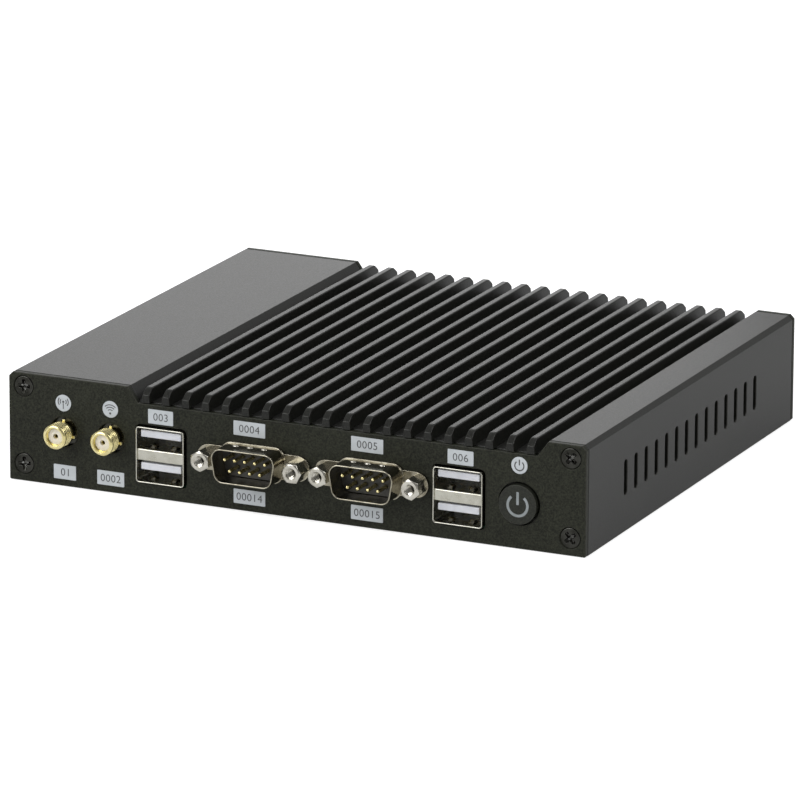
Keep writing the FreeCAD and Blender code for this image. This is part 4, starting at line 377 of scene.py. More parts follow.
MOULDED = new_group("moulded_plastic", {"Body": (0.5, 0.5, 0.5, 1), "Flow": (0.45, 0.45, 0.45, 1),
                                        "Grains per metre": 5000, "Base gloss": 0.4}, moulding)


# %% [markdown]
# Dust settles on faces that look up and lies thinner towards the vertical. A trace of it is all
# that a photographed product has, yet without it a black top looks like a hole in the picture.

# %% Settled dust group
def settled(group, given):
    """Mask = smooth step of the normal's Z * patchy noise * amount."""
    height = add(group, "SeparateXYZ", {0: add(group, "NewGeometry", output="Normal")}, "Z")
    patches = spread_out(group, noise(group, given["Vector"], 900.0, 5.0, 0.75), 0.35, 0.75)
    both = calculate(group, "MULTIPLY", spread_out(group, height, 0.45, 0.95), patches)
    return {"Mask": calculate(group, "MULTIPLY", both, given["Amount"], clamp=True)}


DUST = new_group("settled_dust", {"Amount": 0.1}, settled)


# %% [markdown]
# Each finish below is a short function that starts from the same bare material: a Principled
# shader, its output, and Object coordinates, which stay with the piece when it moves.

# %% Bare material
def bare_material(name):
    """A material with one Principled shader; returns it with its node tree, shader and Object coordinates."""
    material = bpy.data.materials.new(name)
    material.use_nodes = True
    tree = material.node_tree
    tree.nodes.clear()
    output = tree.nodes.new("ShaderNodeOutputMaterial")
    shader = tree.nodes.new("ShaderNodeBsdfPrincipled")
    tree.links.new(shader.outputs[0], output.inputs["Surface"])
    return material, tree, shader, add(tree, "TexCoord", output="Object")


def use_group(tree, group, places, **values):
    """Place a node group, feed it the coordinates, set its named inputs and give its outputs."""
    node = tree.nodes.new("ShaderNodeGroup")
    node.node_tree = group
    tree.links.new(places, node.inputs["Vector"])
    for label, value in values.items():
        node.inputs[label.replace("_", " ")].default_value = value
    return node.outputs


def dress(tree, shader, colour, gloss, height, depth, relief):
    """Link colour and gloss, and a height through a Bump node; depth is in metres, relief its strength."""
    bump = add(tree, "Bump", {"Distance": depth, "Strength": relief, "Height": height})
    for label, socket in (("Base Color", colour), ("Roughness", gloss), ("Normal", bump)):
        tree.links.new(socket, shader.inputs[label])


def grey(level, warmth=0.0):
    """A grey as linear red, green and blue; positive warmth lifts red and lowers blue by that share."""
    return (level * (1 + warmth), level, level * (1 - warmth), 1)


print("ready to mix finishes")


# %% [markdown]
# The case is black powder paint, a little glossier on the extrusion than on the end panels.
# Along its edges the paint is thin and slightly lighter, partly as wear and partly as a painted
# highlight, and its top holds a trace of dust.

# %% Paint
def paint(name, dark, light, gloss, mirror, relief, wear_and_highlight, dust):
    """Powder grain, then edges mixed towards a lighter grey as wear and painted highlight, then dust; mirror is
    the specular level.
    """
    material, tree, shader, places = bare_material(name)
    grain = use_group(tree, POWDER, places, Dark=dark, Light=light, Grains_per_metre=2600,
                      Base_gloss=gloss, Gloss_spread=0.3)
    edge = use_group(tree, EDGE_WEAR_AND_HIGHLIGHT, places, Amount=wear_and_highlight)["Mask"]
    film = use_group(tree, DUST, places, Amount=dust)["Mask"]
    # painted highlight: the edge mask lifts the paint towards a lighter grey, as well as marking thin worn
    # paint
    wear_and_edge_light = mix_colour(tree, edge, grain["Color"], (0.06, 0.06, 0.05, 1))
    shader.inputs["Specular IOR Level"].default_value = mirror
    dress(tree, shader, mix_colour(tree, film, wear_and_edge_light, grey(0.25, 0.03)), grain["Roughness"], grain["Height"],
          0.00005, relief)
    return material


CASE_PAINT = paint("case_paint", (0.002, 0.0022, 0.0016, 1), (0.013, 0.0135, 0.0105, 1),
                   0.38, 0.28, 0.6, 0.5, 0.02)
PANEL_PAINT = paint("panel_paint", (0.003, 0.0034, 0.0018, 1), (0.026, 0.028, 0.018, 1),
                    0.48, 0.16, 0.6, 0.45, 0.015)
BUTTON_PLASTIC = paint("button_plastic", (0.006, 0.0065, 0.0045, 1), (0.022, 0.024, 0.017, 1),
                       0.5, 0.25, 0.4, 0.5, 0.02)
print("paints: 3")


# %% [markdown]
# Metals take their colour from what they mirror, so their own colour only tints it: warm for
# gold, slightly yellow for nickel on the serial shells, neutral for tin on the data ports.

# %% Metals
def metal(name, bright, dull, gloss, gloss_spread, relief=0.15, bare=None):
    """Fully metallic, with patchy plating and fine drawn lines; bare is the colour of its rubbed edges."""
    material, tree, shader, places = bare_material(name)
    plate = use_group(tree, PLATING, places, Bright=bright, Dull=dull, Base_gloss=gloss,
                      Gloss_spread=gloss_spread)
    edge = use_group(tree, EDGE_WEAR_AND_HIGHLIGHT, places, Amount=0.5)["Mask"]
    shader.inputs["Metallic"].default_value = 1.0
    dress(tree, shader, mix_colour(tree, edge, plate["Color"], bare or bright), plate["Roughness"],
          plate["Height"], 0.00001, relief)
    return material


GOLD = metal("gold_plate", (0.84, 0.75, 0.40, 1), (0.70, 0.61, 0.29, 1), 0.19, 0.1, 0.08)
NICKEL_AND_SHADE = metal("nickel_plate_and_shade", (0.40, 0.375, 0.30, 1), (0.21, 0.19, 0.14, 1), 0.1, 0.12, 0.06)
TIN = metal("tin_plate", (0.55, 0.54, 0.475, 1), (0.45, 0.44, 0.375, 1), 0.2, 0.1, 0.05)
BLACKED_STEEL_AND_SHADE = metal("blacked_steel_and_shade", (0.05, 0.05, 0.044, 1), (0.025, 0.025, 0.021, 1), 0.16, 0.12, 0.1,
                      (0.9, 0.9, 0.87, 1))
BRIGHT_NICKEL_AND_HIGHLIGHT = metal("bright_nickel_and_highlight", (0.62, 0.60, 0.54, 1), (0.46, 0.44, 0.38, 1), 0.18, 0.12, 0.08)
BRIGHT_STEEL = metal("bright_steel", (0.62, 0.62, 0.61, 1), (0.42, 0.42, 0.41, 1), 0.26, 0.2)
BRASS = metal("brass_posts", (0.80, 0.60, 0.28, 1), (0.62, 0.44, 0.18, 1), 0.28, 0.15)
LID_METAL = metal("lid_metal", (0.70, 0.70, 0.69, 1), (0.52, 0.52, 0.51, 1), 0.36, 0.14)
MILLED = metal("milled_aluminium", (0.78, 0.79, 0.80, 1), (0.62, 0.63, 0.64, 1), 0.34, 0.16, 0.5)
print("metals: 9")


# %% [markdown]
# The plastics differ in colour and in how matt they are. The white ones let a little light in,
# which keeps thin white tongues from looking like painted metal.

# %% Plastics and labels
def plastic(name, body, flow, gloss, grains=5000, relief=0.2, glow=0.0):
    """Moulded grain over a dielectric; glow is the share of light scattered below the surface."""
    material, tree, shader, places = bare_material(name)
    grain = use_group(tree, MOULDED, places, Body=body, Flow=flow, Grains_per_metre=grains, Base_gloss=gloss)
    if glow:
        shader.inputs["Subsurface Weight"].default_value = glow
        shader.inputs["Subsurface Radius"].default_value = (0.0006, 0.0005, 0.0004)
    dress(tree, shader, grain["Color"], grain["Roughness"], grain["Height"], 0.00002, relief)
    return material


LABEL_FILM = plastic("label_film", (0.43, 0.455, 0.475, 1), (0.39, 0.415, 0.43, 1), 0.5, 2600, 0.15)
LABEL_INK = plastic("label_ink", grey(0.045), grey(0.07), 0.6, 2600, 0.1)
ICON_PAINT = plastic("icon_paint", (0.23, 0.25, 0.26, 1), (0.19, 0.21, 0.21, 1), 0.5, 4200, 0.2)
SLEEVE_WHITE = plastic("sleeve_white", (0.70, 0.65, 0.56, 1), (0.64, 0.60, 0.50, 1), 0.42, 4000, 0.15, 0.2)
TONGUE_WHITE = plastic("tongue_white", (0.56, 0.57, 0.60, 1), (0.50, 0.51, 0.54, 1), 0.38, 4000, 0.15, 0.2)
BLACK_PLASTIC = plastic("black_plastic", grey(0.018), grey(0.028), 0.42)
CHIP_BLACK = plastic("chip_black", grey(0.03), grey(0.042), 0.55)
COIL_GREY = plastic("coil_grey", grey(0.10), grey(0.14), 0.6, 3500, 0.5)
SOFT_PAD = plastic("soft_pad", (0.16, 0.30, 0.42, 1), (0.13, 0.26, 0.37, 1), 0.7, 3000, 0.4)
print("plastics: 9")


# %% [markdown]
# A circuit board is green lacquer over copper. The tracks stand a few hundredths of a
# millimetre proud and look lighter, so a grid of bricks with thin joints gives both the
# colour and the relief of the tracks, seen only through the ventilation slots.

# %% Circuit board
def board_material():
    """Brick joints as tracks: colour from dark to light green, height 1 on the tracks."""
    material, tree, shader, places = bare_material("board_green")
    bricks = tree.nodes.new("ShaderNodeTexBrick")
    for label, value in (("Scale", 260.0), ("Mortar Size", 0.03), ("Color1", (0.010, 0.085, 0.035, 1)),
                         ("Color2", (0.014, 0.10, 0.042, 1)), ("Mortar", (0.03, 0.20, 0.09, 1))):
        bricks.inputs[label].default_value = value
    tree.links.new(places, bricks.inputs["Vector"])
    grain = use_group(tree, MOULDED, places, Body=grey(0.5), Flow=grey(0.5), Base_gloss=0.3)
    dress(tree, shader, bricks.outputs["Color"], grain["Roughness"], bricks.outputs["Fac"], 0.00003, 0.5)
    return material


BOARD_GREEN = board_material()
print("board:", BOARD_GREEN.name)

# %% [markdown]
# Every CAD node now gets the finish of its real piece. The nodes that a later cell replaces
# with a finer mesh get one too, so that nothing is ever left in plain grey.

# %% Finish of each node
FINISHES = {
    "case_paint": CASE_PAINT, "panel_paint": PANEL_PAINT, "label_print": LABEL_FILM,
    "screw_steel": BRIGHT_STEEL, "port_metal": TIN, "gold": GOLD, "white_insulator": SLEEVE_WHITE,
    "white_plastic": TONGUE_WHITE, "black_plastic": BLACK_PLASTIC, "button_plastic": BUTTON_PLASTIC,
    "board_green": BOARD_GREEN, "brass_posts": BRASS, "chip_metal": LID_METAL, "soft_pad": SOFT_PAD,
    "block_aluminium": MILLED, "coil_grey": COIL_GREY, "chip_black": CHIP_BLACK,
}
NODE_FINISHES = {
    **dict.fromkeys(("front_panel_screws", "rear_panel_screws", "bottom_cover_screws"), BLACKED_STEEL_AND_SHADE),
    **dict.fromkeys(("serial_shell_1", "serial_shell_2", "jackscrews"), NICKEL_AND_SHADE),
}

slot_of_node = {row["node"]: row["material_slot"] for row in frame["record"]["subparts"]}
for name, node in frame["nodes"].items():
    for place in node.material_slots:
        place.material = NODE_FINISHES.get(name, FINISHES[slot_of_node[name]])
print("finished nodes:", len(slot_of_node))

# %% [markdown]
# The finer meshes are grids of points computed with numpy. A shape is kept as three arrays:
# its points in case millimetres, how much edge wear and painted edge highlight each point carries,
# and its faces. Every piece below is made by weaving rows of points into faces, or by filling flat
# outlines that may have holes in them.

# %% Shapes
def join(*shapes):
    """One shape from several: their points one after another, their face numbers moved up to match."""
    points = np.concatenate([shape[0] for shape in shapes])
    wear_and_edge_light = np.concatenate([shape[1] for shape in shapes])
    starts = np.cumsum([0] + [len(shape[0]) for shape in shapes[:-1]])
    faces = [block + start for start, shape in zip(starts, shapes) for block in shape[2]]
    return points, wear_and_edge_light, faces


def weave(rows, wear_and_edge_light=None, keep=None):
    """Quads between neighbouring rows of a (rows, columns, 3) grid whose last column meets its first."""
    rows = np.asarray(rows, float)
    count, columns = rows.shape[:2]
    numbers = np.arange(count * columns).reshape(count, columns)
    turned = np.roll(numbers, -1, axis=1)
    quads = np.stack([numbers[:-1], turned[:-1], turned[1:], numbers[1:]], axis=-1)
    if keep is not None:
        quads = quads[keep]
    values = np.repeat(np.zeros(count) if wear_and_edge_light is None else np.asarray(wear_and_edge_light, float), columns)
    return rows.reshape(-1, 3), values, [quads.reshape(-1, 4)]


def fill(loops):
    """Triangles between flat loops of 3-D points; the first loop is the outline, the others are holes."""
    triangles = tessellate_polygon([[Vector(point) for point in loop] for loop in loops])
    points = np.concatenate(loops)
    return points, np.zeros(len(points)), [np.array(triangles, dtype=int)]


def cap(loop):
    """One flat face over a convex loop."""
    return np.asarray(loop, float), np.zeros(len(loop)), [np.arange(len(loop))[None, :]]


def capped(rows, wear_and_edge_light=None, end=cap):
    """Woven rows with a flat face over the first and the last one."""
    return join(weave(rows, wear_and_edge_light), end(rows[0]), end(rows[-1]))


def plug(loop):
    """Triangles over a loop that may be hollow somewhere."""
    return fill([loop])


def moved(shape, offset):
    """The shape with the same offset added to each of its points."""
    return shape[0] + np.asarray(offset, float), shape[1], shape[2]


def facing_plane(*order):
    """A function that turns flat points (a, b) and a depth into 3-D points, taken in the given order."""
    def place(flat, depth):
        flat = np.asarray(flat, float)
        values = (flat[..., 0], flat[..., 1], np.broadcast_to(depth, flat.shape[:-1]))
        return np.stack([values[index] for index in order], axis=-1)
    return place


front_plane = facing_plane(0, 2, 1)
ground_plane = facing_plane(0, 1, 2)
side_plane = facing_plane(2, 0, 1)
print("shape helpers are ready")


# %% [markdown]
# Outlines are lists of flat points that run counter-clockwise. Real sheet, plastic and castings
# have no perfectly sharp corners, so a corner is always an arc, if only of a tenth of a millimetre.

# %% Outlines
def unit(vectors):
    """Vectors divided by their lengths."""
    return vectors / np.linalg.norm(vectors, axis=-1, keepdims=True)


def rounded_outline(corners, radius, steps=6):
    """Arcs in place of corners; an arc's centre is corner + (u + v) / |u + v| * radius / sin(half angle)."""
    corners = np.asarray(corners, float)
    radius = np.broadcast_to(np.asarray(radius, float), (len(corners),))
    before = unit(np.roll(corners, 1, axis=0) - corners)
    after = unit(np.roll(corners, -1, axis=0) - corners)
    half = np.arccos(np.clip((before * after).sum(axis=1), -1, 1)) / 2
    centre = corners + unit(before + after) * (radius / np.sin(half))[:, None]
    reach = (radius / np.tan(half))[:, None]
    start = corners + before * reach - centre
    end = corners + after * reach - centre
    first = np.arctan2(start[:, 1], start[:, 0])
    turn = (np.arctan2(end[:, 1], end[:, 0]) - first + np.pi) % (2 * np.pi) - np.pi
    angles = first[:, None] + turn[:, None] * np.linspace(0, 1, steps)
    ring = np.stack([np.cos(angles), np.sin(angles)], axis=-1)
    return (centre[:, None] + radius[:, None, None] * ring).reshape(-1, 2)


def circle(x, z, radius, steps=64):
    """Points at (x, z) + radius * (cos a, sin a)."""
    angles = np.arange(steps) * 2 * np.pi / steps
    return np.stack([x + radius * np.cos(angles), z + radius * np.sin(angles)], axis=-1)


def trapezoid(x, z, half_bottom, half_top, half_height, radius, steps=6):
    """Four corners about (x, z), wider or narrower at the top, as arcs."""
    corners = [(x - half_bottom, z - half_height), (x + half_bottom, z - half_height),
               (x + half_top, z + half_height), (x - half_top, z + half_height)]
    return rounded_outline(corners, radius, steps)


def rounded_rectangle(x, z, width, height, radius, steps=6):
    """A rectangle centred on (x, z) whose corners are arcs."""
    return trapezoid(x, z, width / 2, width / 2, height / 2, radius, steps)


def slot_outline(x, z, width, height, steps=10):
    """An upright slot with half round ends, drawn as a rectangle with the largest corner arcs."""
    return rounded_rectangle(x, z, width, height, width / 2 - 0.001, steps)


def grow(outline, distance):
    """Move each edge outwards: p + distance * (n1 + n2) / (1 + n1 . n2), with n1 and n2 the edge normals."""
    along = unit(np.roll(outline, -1, axis=0) - outline)
    after = np.stack([along[:, 1], -along[:, 0]], axis=1)
    before = np.roll(after, 1, axis=0)
    mitre = (before + after) / (1 + (before * after).sum(axis=1))[:, None]
    return outline + distance * mitre


def arc_band(x, z, radius, line, start, end, steps=24):
    """The outline of a curved stroke: an outer arc followed by the inner arc run backwards."""
    angles = np.radians(np.linspace(start, end, steps))
    ring = np.stack([np.cos(angles), np.sin(angles)], axis=-1)
    outer = (radius + line / 2) * ring
    inner = (radius - line / 2) * ring[::-1]
    return np.concatenate([outer, inner]) + np.array([x, z])


print("outline helpers are ready")


# %% [markdown]
# A sheet is an outline with thickness. Its rim is a quarter of a circle, both outside and round
# each hole, because a punched, painted sheet always shows a soft edge that catches the light.

# %% Sheets
RIM_STEPS = 5


def rim(edge, steps=RIM_STEPS):
    """Offsets edge * (sin t - 1) and depths edge * (1 - cos t) of a quarter round, with its share sin 2t of
    edge wear and painted highlight.
    """
    angle = np.linspace(0, np.pi / 2, steps)
    return edge * (np.sin(angle) - 1), edge * (1 - np.cos(angle)), np.sin(2 * angle)


def stack(outline, offsets, depths, plane):
    """Rows of an outline: each grown by its offset and placed at its depth."""
    return np.array([plane(grow(outline, offset), depth) for offset, depth in zip(offsets, depths)])


def hole(outline, edge, thickness):
    """A plain hole: its outline, and offsets, depths and wear of a quarter round mouth and a wall."""
    offsets, depths, wear_and_edge_light = rim(edge)
    return outline, np.append(-offsets, 0), np.append(depths, thickness), np.append(wear_and_edge_light, 0)


def sheet(outer, holes, face, thickness, edge, plane=front_plane, back_edge=0.0):
    """A flat plate: front fill, quarter round rims, walls and back fill; the depth runs on from its face."""
    toward = np.sign(thickness)
    depth = abs(thickness)
    offsets, depths, wear_and_edge_light = rim(edge)
    if back_edge:
        back_offsets, back_depths, _ = (values[::-1] for values in rim(back_edge))
        offsets = np.append(offsets, back_offsets)
        depths = np.append(depths, depth - back_depths)
        wear_and_edge_light = np.append(wear_and_edge_light, np.zeros(RIM_STEPS))
    else:
        offsets, depths, wear_and_edge_light = np.append(offsets, 0), np.append(depths, depth), np.append(wear_and_edge_light, 0)
    walls = [weave(stack(outer, offsets, face + toward * depths, plane), wear_and_edge_light)]
    front_loops = [plane(grow(outer, offsets[0]), face)]
    back_loops = [plane(grow(outer, offsets[-1]), face + thickness)]
    for outline, hole_offsets, hole_depths, hole_worn in holes:
        walls.append(weave(stack(outline, hole_offsets, face + toward * hole_depths, plane), hole_worn))
        front_loops.append(plane(grow(outline, hole_offsets[0]), face))
        back_loops.append(plane(grow(outline, hole_offsets[-1]), face + thickness))
    return join(fill(front_loops), fill(back_loops), *walls)


def slab(outline, face, thickness, edge):
    """A sheet without holes."""
    return sheet(outline, [], face, thickness, edge)


print("sheet helpers are ready")


# %% [markdown]
# Turned parts such as jacks, pins and screws are profiles swung round an axis. Both the radius
# and the place along the axis may depend on the angle, which is how a thread is cut: its ridge
# climbs by one pitch in each turn.

# %% Turned parts
TURN_STEPS = 64


def ring_rows(x, z, radii, depths, steps=TURN_STEPS, start=0.0):
    """Rows (x + r cos a, depth, z + r sin a); each radius is a number or one number per angle."""
    angles = start + np.arange(steps) * 2 * np.pi / steps
    radii = np.asarray(radii, float)
    if radii.ndim == 1:
        radii = np.repeat(radii[:, None], steps, axis=1)
    depths = np.repeat(np.asarray(depths, float)[:, None], steps, axis=1)
    return np.stack([x + radii * np.cos(angles), depths, z + radii * np.sin(angles)], axis=-1)


def profile_rows(x, z, profile, steps=TURN_STEPS, start=0.0):
    """Rows of a list of (radius, depth), where a radius is a number or one number per angle."""
    radii, depths = zip(*profile)
    radii = np.array([np.broadcast_to(radius, steps) for radius in radii])
    return ring_rows(x, z, radii, depths, steps, start)


def lathe(x, z, radii, depths, wear_and_edge_light=None, steps=TURN_STEPS, close_start=True, close_end=True):
    """Rows of circles about an axis that runs front to back; an end with a radius gets a flat cap."""
    rows = ring_rows(x, z, radii, depths, steps)
    parts = [weave(rows, wear_and_edge_light)]
    if close_start:
        parts.append(cap(rows[0]))
    if close_end:
        parts.append(cap(rows[-1]))
    return join(*parts)


def turned(x, z, profile, steps, close_start=True, close_end=True):
    """A lathe of (radius, depth) pairs."""
    radii, depths = zip(*profile)
    return lathe(x, z, radii, depths, None, steps, close_start, close_end)


def ridge(turns):
    """A thread's section over one pitch, 1 on the crest and 0 in the root, with flats at both."""
    saw = np.abs((turns % 1) - 0.5) * 2
    return np.clip((saw - 0.5) * 2 + 0.5, 0, 1)


def threaded_rows(radius, depth, pitch, start, end, fade, steps=TURN_STEPS, rows_per_turn=10):
    """Radius - depth * ridge(y / pitch + angle / turn) * fade; the fade runs from 0 to 1 at each end."""
    count = int(abs(end - start) / pitch * rows_per_turn) + 1
    places = np.linspace(start, end, count)
    angles = np.arange(steps) / steps
    cut_depth = ridge(places[:, None] / pitch + angles[None, :])
    runout = np.clip(np.minimum(places - min(start, end), max(start, end) - places) / fade, 0, 1)
    return radius - depth * cut_depth * runout[:, None], places


print("lathe helpers are ready")


# %% [markdown]
# A shape becomes an object in one way only: scaled to metres, welded where its parts meet, with
# its normals outwards. Faces that meet at more than 35 degrees keep a crisp edge, and the others
# are smooth, with large flats kept flat by weighted normals.

# %% Objects from shapes
CRISP_ANGLE = math.radians(35)
WELD = 1e-6


def weld(mesh, distance, angle=None):
    """Merge points closer than the distance, drop what that flattens or joins, turn normals outwards."""
    work = bmesh.new()
    work.from_mesh(mesh)
    bmesh.ops.remove_doubles(work, verts=work.verts, dist=distance)
    if angle is None:
        bmesh.ops.dissolve_degenerate(work, edges=work.edges, dist=distance / 10)
    else:
        bmesh.ops.dissolve_limit(work, angle_limit=angle, verts=work.verts, edges=work.edges)
    bmesh.ops.recalc_face_normals(work, faces=work.faces)
    open_edges = sum(1 for edge in work.edges if len(edge.link_faces) != 2)
    work.to_mesh(mesh)
    work.free()
    return open_edges


def modify(piece, name, kind, **settings):
    """Give the object a modifier with these settings."""
    modifier = piece.modifiers.new(name, kind)
    for setting, value in settings.items():
        setattr(modifier, setting, value)


def build(name, shape, material, replaces=(), body="case", smooth=True):
    """metres = (case millimetres + corner of the case) / 1000; then weld, dress and register the piece."""
    points, wear_and_edge_light, faces = shape
    mesh = bpy.data.meshes.new(name)
    mesh.from_pydata(((points + CASE_CORNER) / 1000).tolist(), [],
                     [face for block in faces for face in block.tolist()])
    mesh.attributes.new("wear_and_edge_light", "FLOAT", "POINT").data.foreach_set("value", wear_and_edge_light.astype(np.float32))
    open_edges = weld(mesh, WELD)
    mesh.materials.append(material)
    piece = add_object(name, mesh)
    if smooth:
        mesh.shade_smooth()
        mesh.set_sharp_from_angle(angle=CRISP_ANGLE)
        modify(piece, "flat_faces_stay_flat", "WEIGHTED_NORMAL", keep_sharp=True, weight=100)
    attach(piece, body)
    if replaces:
        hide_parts(*replaces)
    print(name, "faces:", len(mesh.polygons), "open edges:", open_edges)


def soften(node, width):
    """A copy of a CAD node, welded, with flat faces merged and its edges rounded by a bevel."""
    source = frame["nodes"][node]
    mesh = source.data.copy()
    mesh.name = node + "_soft"
    weld(mesh, WELD * 5, math.radians(1.0))
    mesh.shade_smooth()
    mesh.set_sharp_from_angle(angle=CRISP_ANGLE)
    piece = add_object(mesh.name, mesh)
    modify(piece, "soft_edges", "BEVEL", width=width / 1000, segments=2, limit_method="ANGLE",
           angle_limit=CRISP_ANGLE, harden_normals=False, use_clamp_overlap=True)
    modify(piece, "flat_faces_stay_flat", "WEIGHTED_NORMAL", keep_sharp=False)
    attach(piece, source["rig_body"])
    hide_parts(node)


print("object helpers are ready")

# %% [markdown]
# The housing is one aluminium extrusion: two shoulders, a dipped roof between them, side walls
# and the rails that the screws bite into. Its section is drawn once and drawn out between the
# end panels. The right wall is cut by fourteen slots whose mouths are slightly rounded, because
# paint pulls back from a sharp edge.

# %% Housing
PANEL_THICKNESS = BODY_FRONT = node_box("front_panel")[1][1]
BODY_REAR = DEPTH - PANEL_THICKNESS
SEAM_EDGE = 0.36
SIDE_WALL = 2.2
FIN_FLOOR = 24.4
ROOF_UNDERSIDE = 22.0
SHOULDER_UNDERSIDE = 25.0
EDGE_BEVEL = 1.1
LEFT_SHOULDER = 33.2
RIGHT_SHOULDER = WIDTH - 10.1
SLOPE_RUN = 2.6
COVER_THICKNESS = node_box("bottom_cover")[1][2]
RAIL = 8.6
RAIL_TOP = 7.8
LEDGE = 7.6
LEDGE_BOTTOM = 21.0
SLOT_COUNT = 14
SLOT_FRONT = 24.6
SLOT_PITCH = 6.435
SLOT_WIDTH = 2.0
SLOT_BOTTOM = 9.35
SLOT_TOP = 18.4
SLOT_EDGE = 0.22
CORNER_ROUND = 0.18
NEARLY = 0.01


def case_section():
    """The section of the extrusion, counter-clockwise in (x, z), with a small arc at each corner."""
    outer = [(0, 0), (SIDE_WALL, 0), (SIDE_WALL, COVER_THICKNESS), (RAIL, COVER_THICKNESS), (RAIL, RAIL_TOP),
             (SIDE_WALL, RAIL_TOP), (SIDE_WALL, LEDGE_BOTTOM), (LEDGE, LEDGE_BOTTOM),
             (LEDGE, SHOULDER_UNDERSIDE), (LEFT_SHOULDER - 2, SHOULDER_UNDERSIDE),
             (LEFT_SHOULDER + SLOPE_RUN - 2, ROOF_UNDERSIDE)]
    right = [(WIDTH - x, z) for x, z in outer[:9]]
    right += [(RIGHT_SHOULDER + 2, SHOULDER_UNDERSIDE), (RIGHT_SHOULDER - SLOPE_RUN + 2, ROOF_UNDERSIDE)]
    top = [(WIDTH, HEIGHT - EDGE_BEVEL), (WIDTH - EDGE_BEVEL, HEIGHT), (RIGHT_SHOULDER, HEIGHT),
           (RIGHT_SHOULDER - SLOPE_RUN, FIN_FLOOR), (LEFT_SHOULDER + SLOPE_RUN, FIN_FLOOR),
           (LEFT_SHOULDER, HEIGHT), (EDGE_BEVEL, HEIGHT), (0, HEIGHT - EDGE_BEVEL)]
    corners = outer + right[::-1] + top
    return rounded_outline(corners, CORNER_ROUND, 4)


def case_body():
    """Rows of the section with quarter round ends; the slotted wall's two long faces are filled with holes."""
    section = case_section()
    offsets, depths, _ = rim(SEAM_EDGE)
    rows = stack(section, np.append(offsets, offsets[::-1]),
                 np.append(BODY_FRONT + depths, BODY_REAR - depths[::-1]), front_plane)
    following = np.roll(section, -1, axis=0)
    tall = np.abs(following[:, 1] - section[:, 1]) > SLOT_TOP - SLOT_BOTTOM
    outer_wall = tall & (section[:, 0] > WIDTH - NEARLY)
    inner_wall = tall & (np.abs(section[:, 0] - WIDTH + SIDE_WALL) < NEARLY)
    keep = np.ones((len(rows) - 1, len(section)), bool)
    keep[RIM_STEPS - 1, outer_wall | inner_wall] = False
    slots = [hole(slot_outline(SLOT_FRONT + SLOT_PITCH * number, (SLOT_BOTTOM + SLOT_TOP) / 2, SLOT_WIDTH,
                               SLOT_TOP - SLOT_BOTTOM, 8), SLOT_EDGE, SIDE_WALL)
             for number in range(SLOT_COUNT)]
    tunnels = [weave(stack(slot, growth, WIDTH - sink, side_plane), wear_and_edge_light) for slot, growth, sink, wear_and_edge_light in slots]
    near, far = BODY_FRONT + SEAM_EDGE, BODY_REAR - SEAM_EDGE
    walls = []
    for chosen, x, row in ((outer_wall, WIDTH, 0), (inner_wall, WIDTH - SIDE_WALL, -1)):
        column = int(np.flatnonzero(chosen)[0])
        low, high = sorted((section[column, 1], following[column, 1]))
        border = side_plane([(near, low), (far, low), (far, high), (near, high)], x)
        mouths = [side_plane(grow(slot, growth[row]), x) for slot, growth, _, _ in slots]
        walls.append(fill([border] + mouths))
    return join(weave(rows, keep=keep), *tunnels, *walls, plug(rows[0]), plug(rows[-1]))


print("section corners:", len(case_section()))

# %% [markdown]
# The fins are part of the same extrusion and stand on the dipped roof. They taper upwards, have
# rounded tips, and both ends are milled down at a slant so that they carry no sharp points.
# They run past the end panels, which dip to pass under them.

# %% Fins
FIN_COUNT = 20
FIN_FIRST = 37.3
FIN_PITCH = 5.48
FIN_TOP = 1.67
FIN_BASE = 2.17
FIN_BEVEL_RUN = 1.9
FIN_BEVEL_DROP = 1.6
FIN_TIP_ROUND = 0.32
FIN_END_ROUND = 0.14
FIN_SINK = 0.05
FIN_BEND = 0.45


def fin_section(top, shrink):
    """A tapered section: half width = base / 2 - taper * (z - floor), with rounded upper corners."""
    taper = (FIN_BASE - FIN_TOP) / 2 / (HEIGHT - FIN_FLOOR)
    low = FIN_FLOOR - FIN_SINK
    half_low = FIN_BASE / 2 - shrink
    half_high = FIN_BASE / 2 - taper * (top - FIN_FLOOR) - shrink
    high = top - shrink
    corners = [(-half_low, low), (half_low, low), (half_high, high), (-half_high, high)]
    return rounded_outline(corners, [0.02, 0.02, FIN_TIP_ROUND, FIN_TIP_ROUND], 6)


def one_fin():
    """Sections along the fin; the top climbs by the bevel's drop over its run and bends smoothly there."""
    offsets, depths, wear_and_edge_light = rim(FIN_END_ROUND)
    beyond = np.append(np.linspace(0.5, FIN_BEVEL_RUN + 0.8, 9), [DEPTH / 4, DEPTH / 2])
    along = np.append(depths, beyond)
    shrink = np.append(-offsets, 0 * beyond)
    wear_and_highlight = np.append(wear_and_edge_light, 0 * beyond)
    gap = (along - FIN_BEVEL_RUN) * (FIN_BEVEL_DROP / FIN_BEVEL_RUN)
    climb = HEIGHT + (gap - np.sqrt(gap ** 2 + FIN_BEND ** 2)) / 2
    rows = np.array([front_plane(fin_section(top, inset), y) for top, inset, y in zip(climb, shrink, along)])
    back = rows[-2::-1].copy()
    back[..., 1] = DEPTH - back[..., 1]
    rows = np.concatenate([rows, back])
    return capped(rows, np.concatenate([wear_and_highlight, wear_and_highlight[-2::-1]]) / 4)


fin = one_fin()
fins = [moved(fin, (FIN_FIRST + FIN_TOP / 2 + FIN_PITCH * index, 0, 0)) for index in range(FIN_COUNT)]
build("finned_housing", join(case_body(), *fins), CASE_PAINT, ["housing"])

# %% [markdown]
# A countersunk screw has a flat round head with a cross for the driver. The cross is wide at
# its mouth and narrows towards its floor, so its walls are drawn between two crosses of
# different size. The screws were turned home by hand, so each cross stands at its own angle.

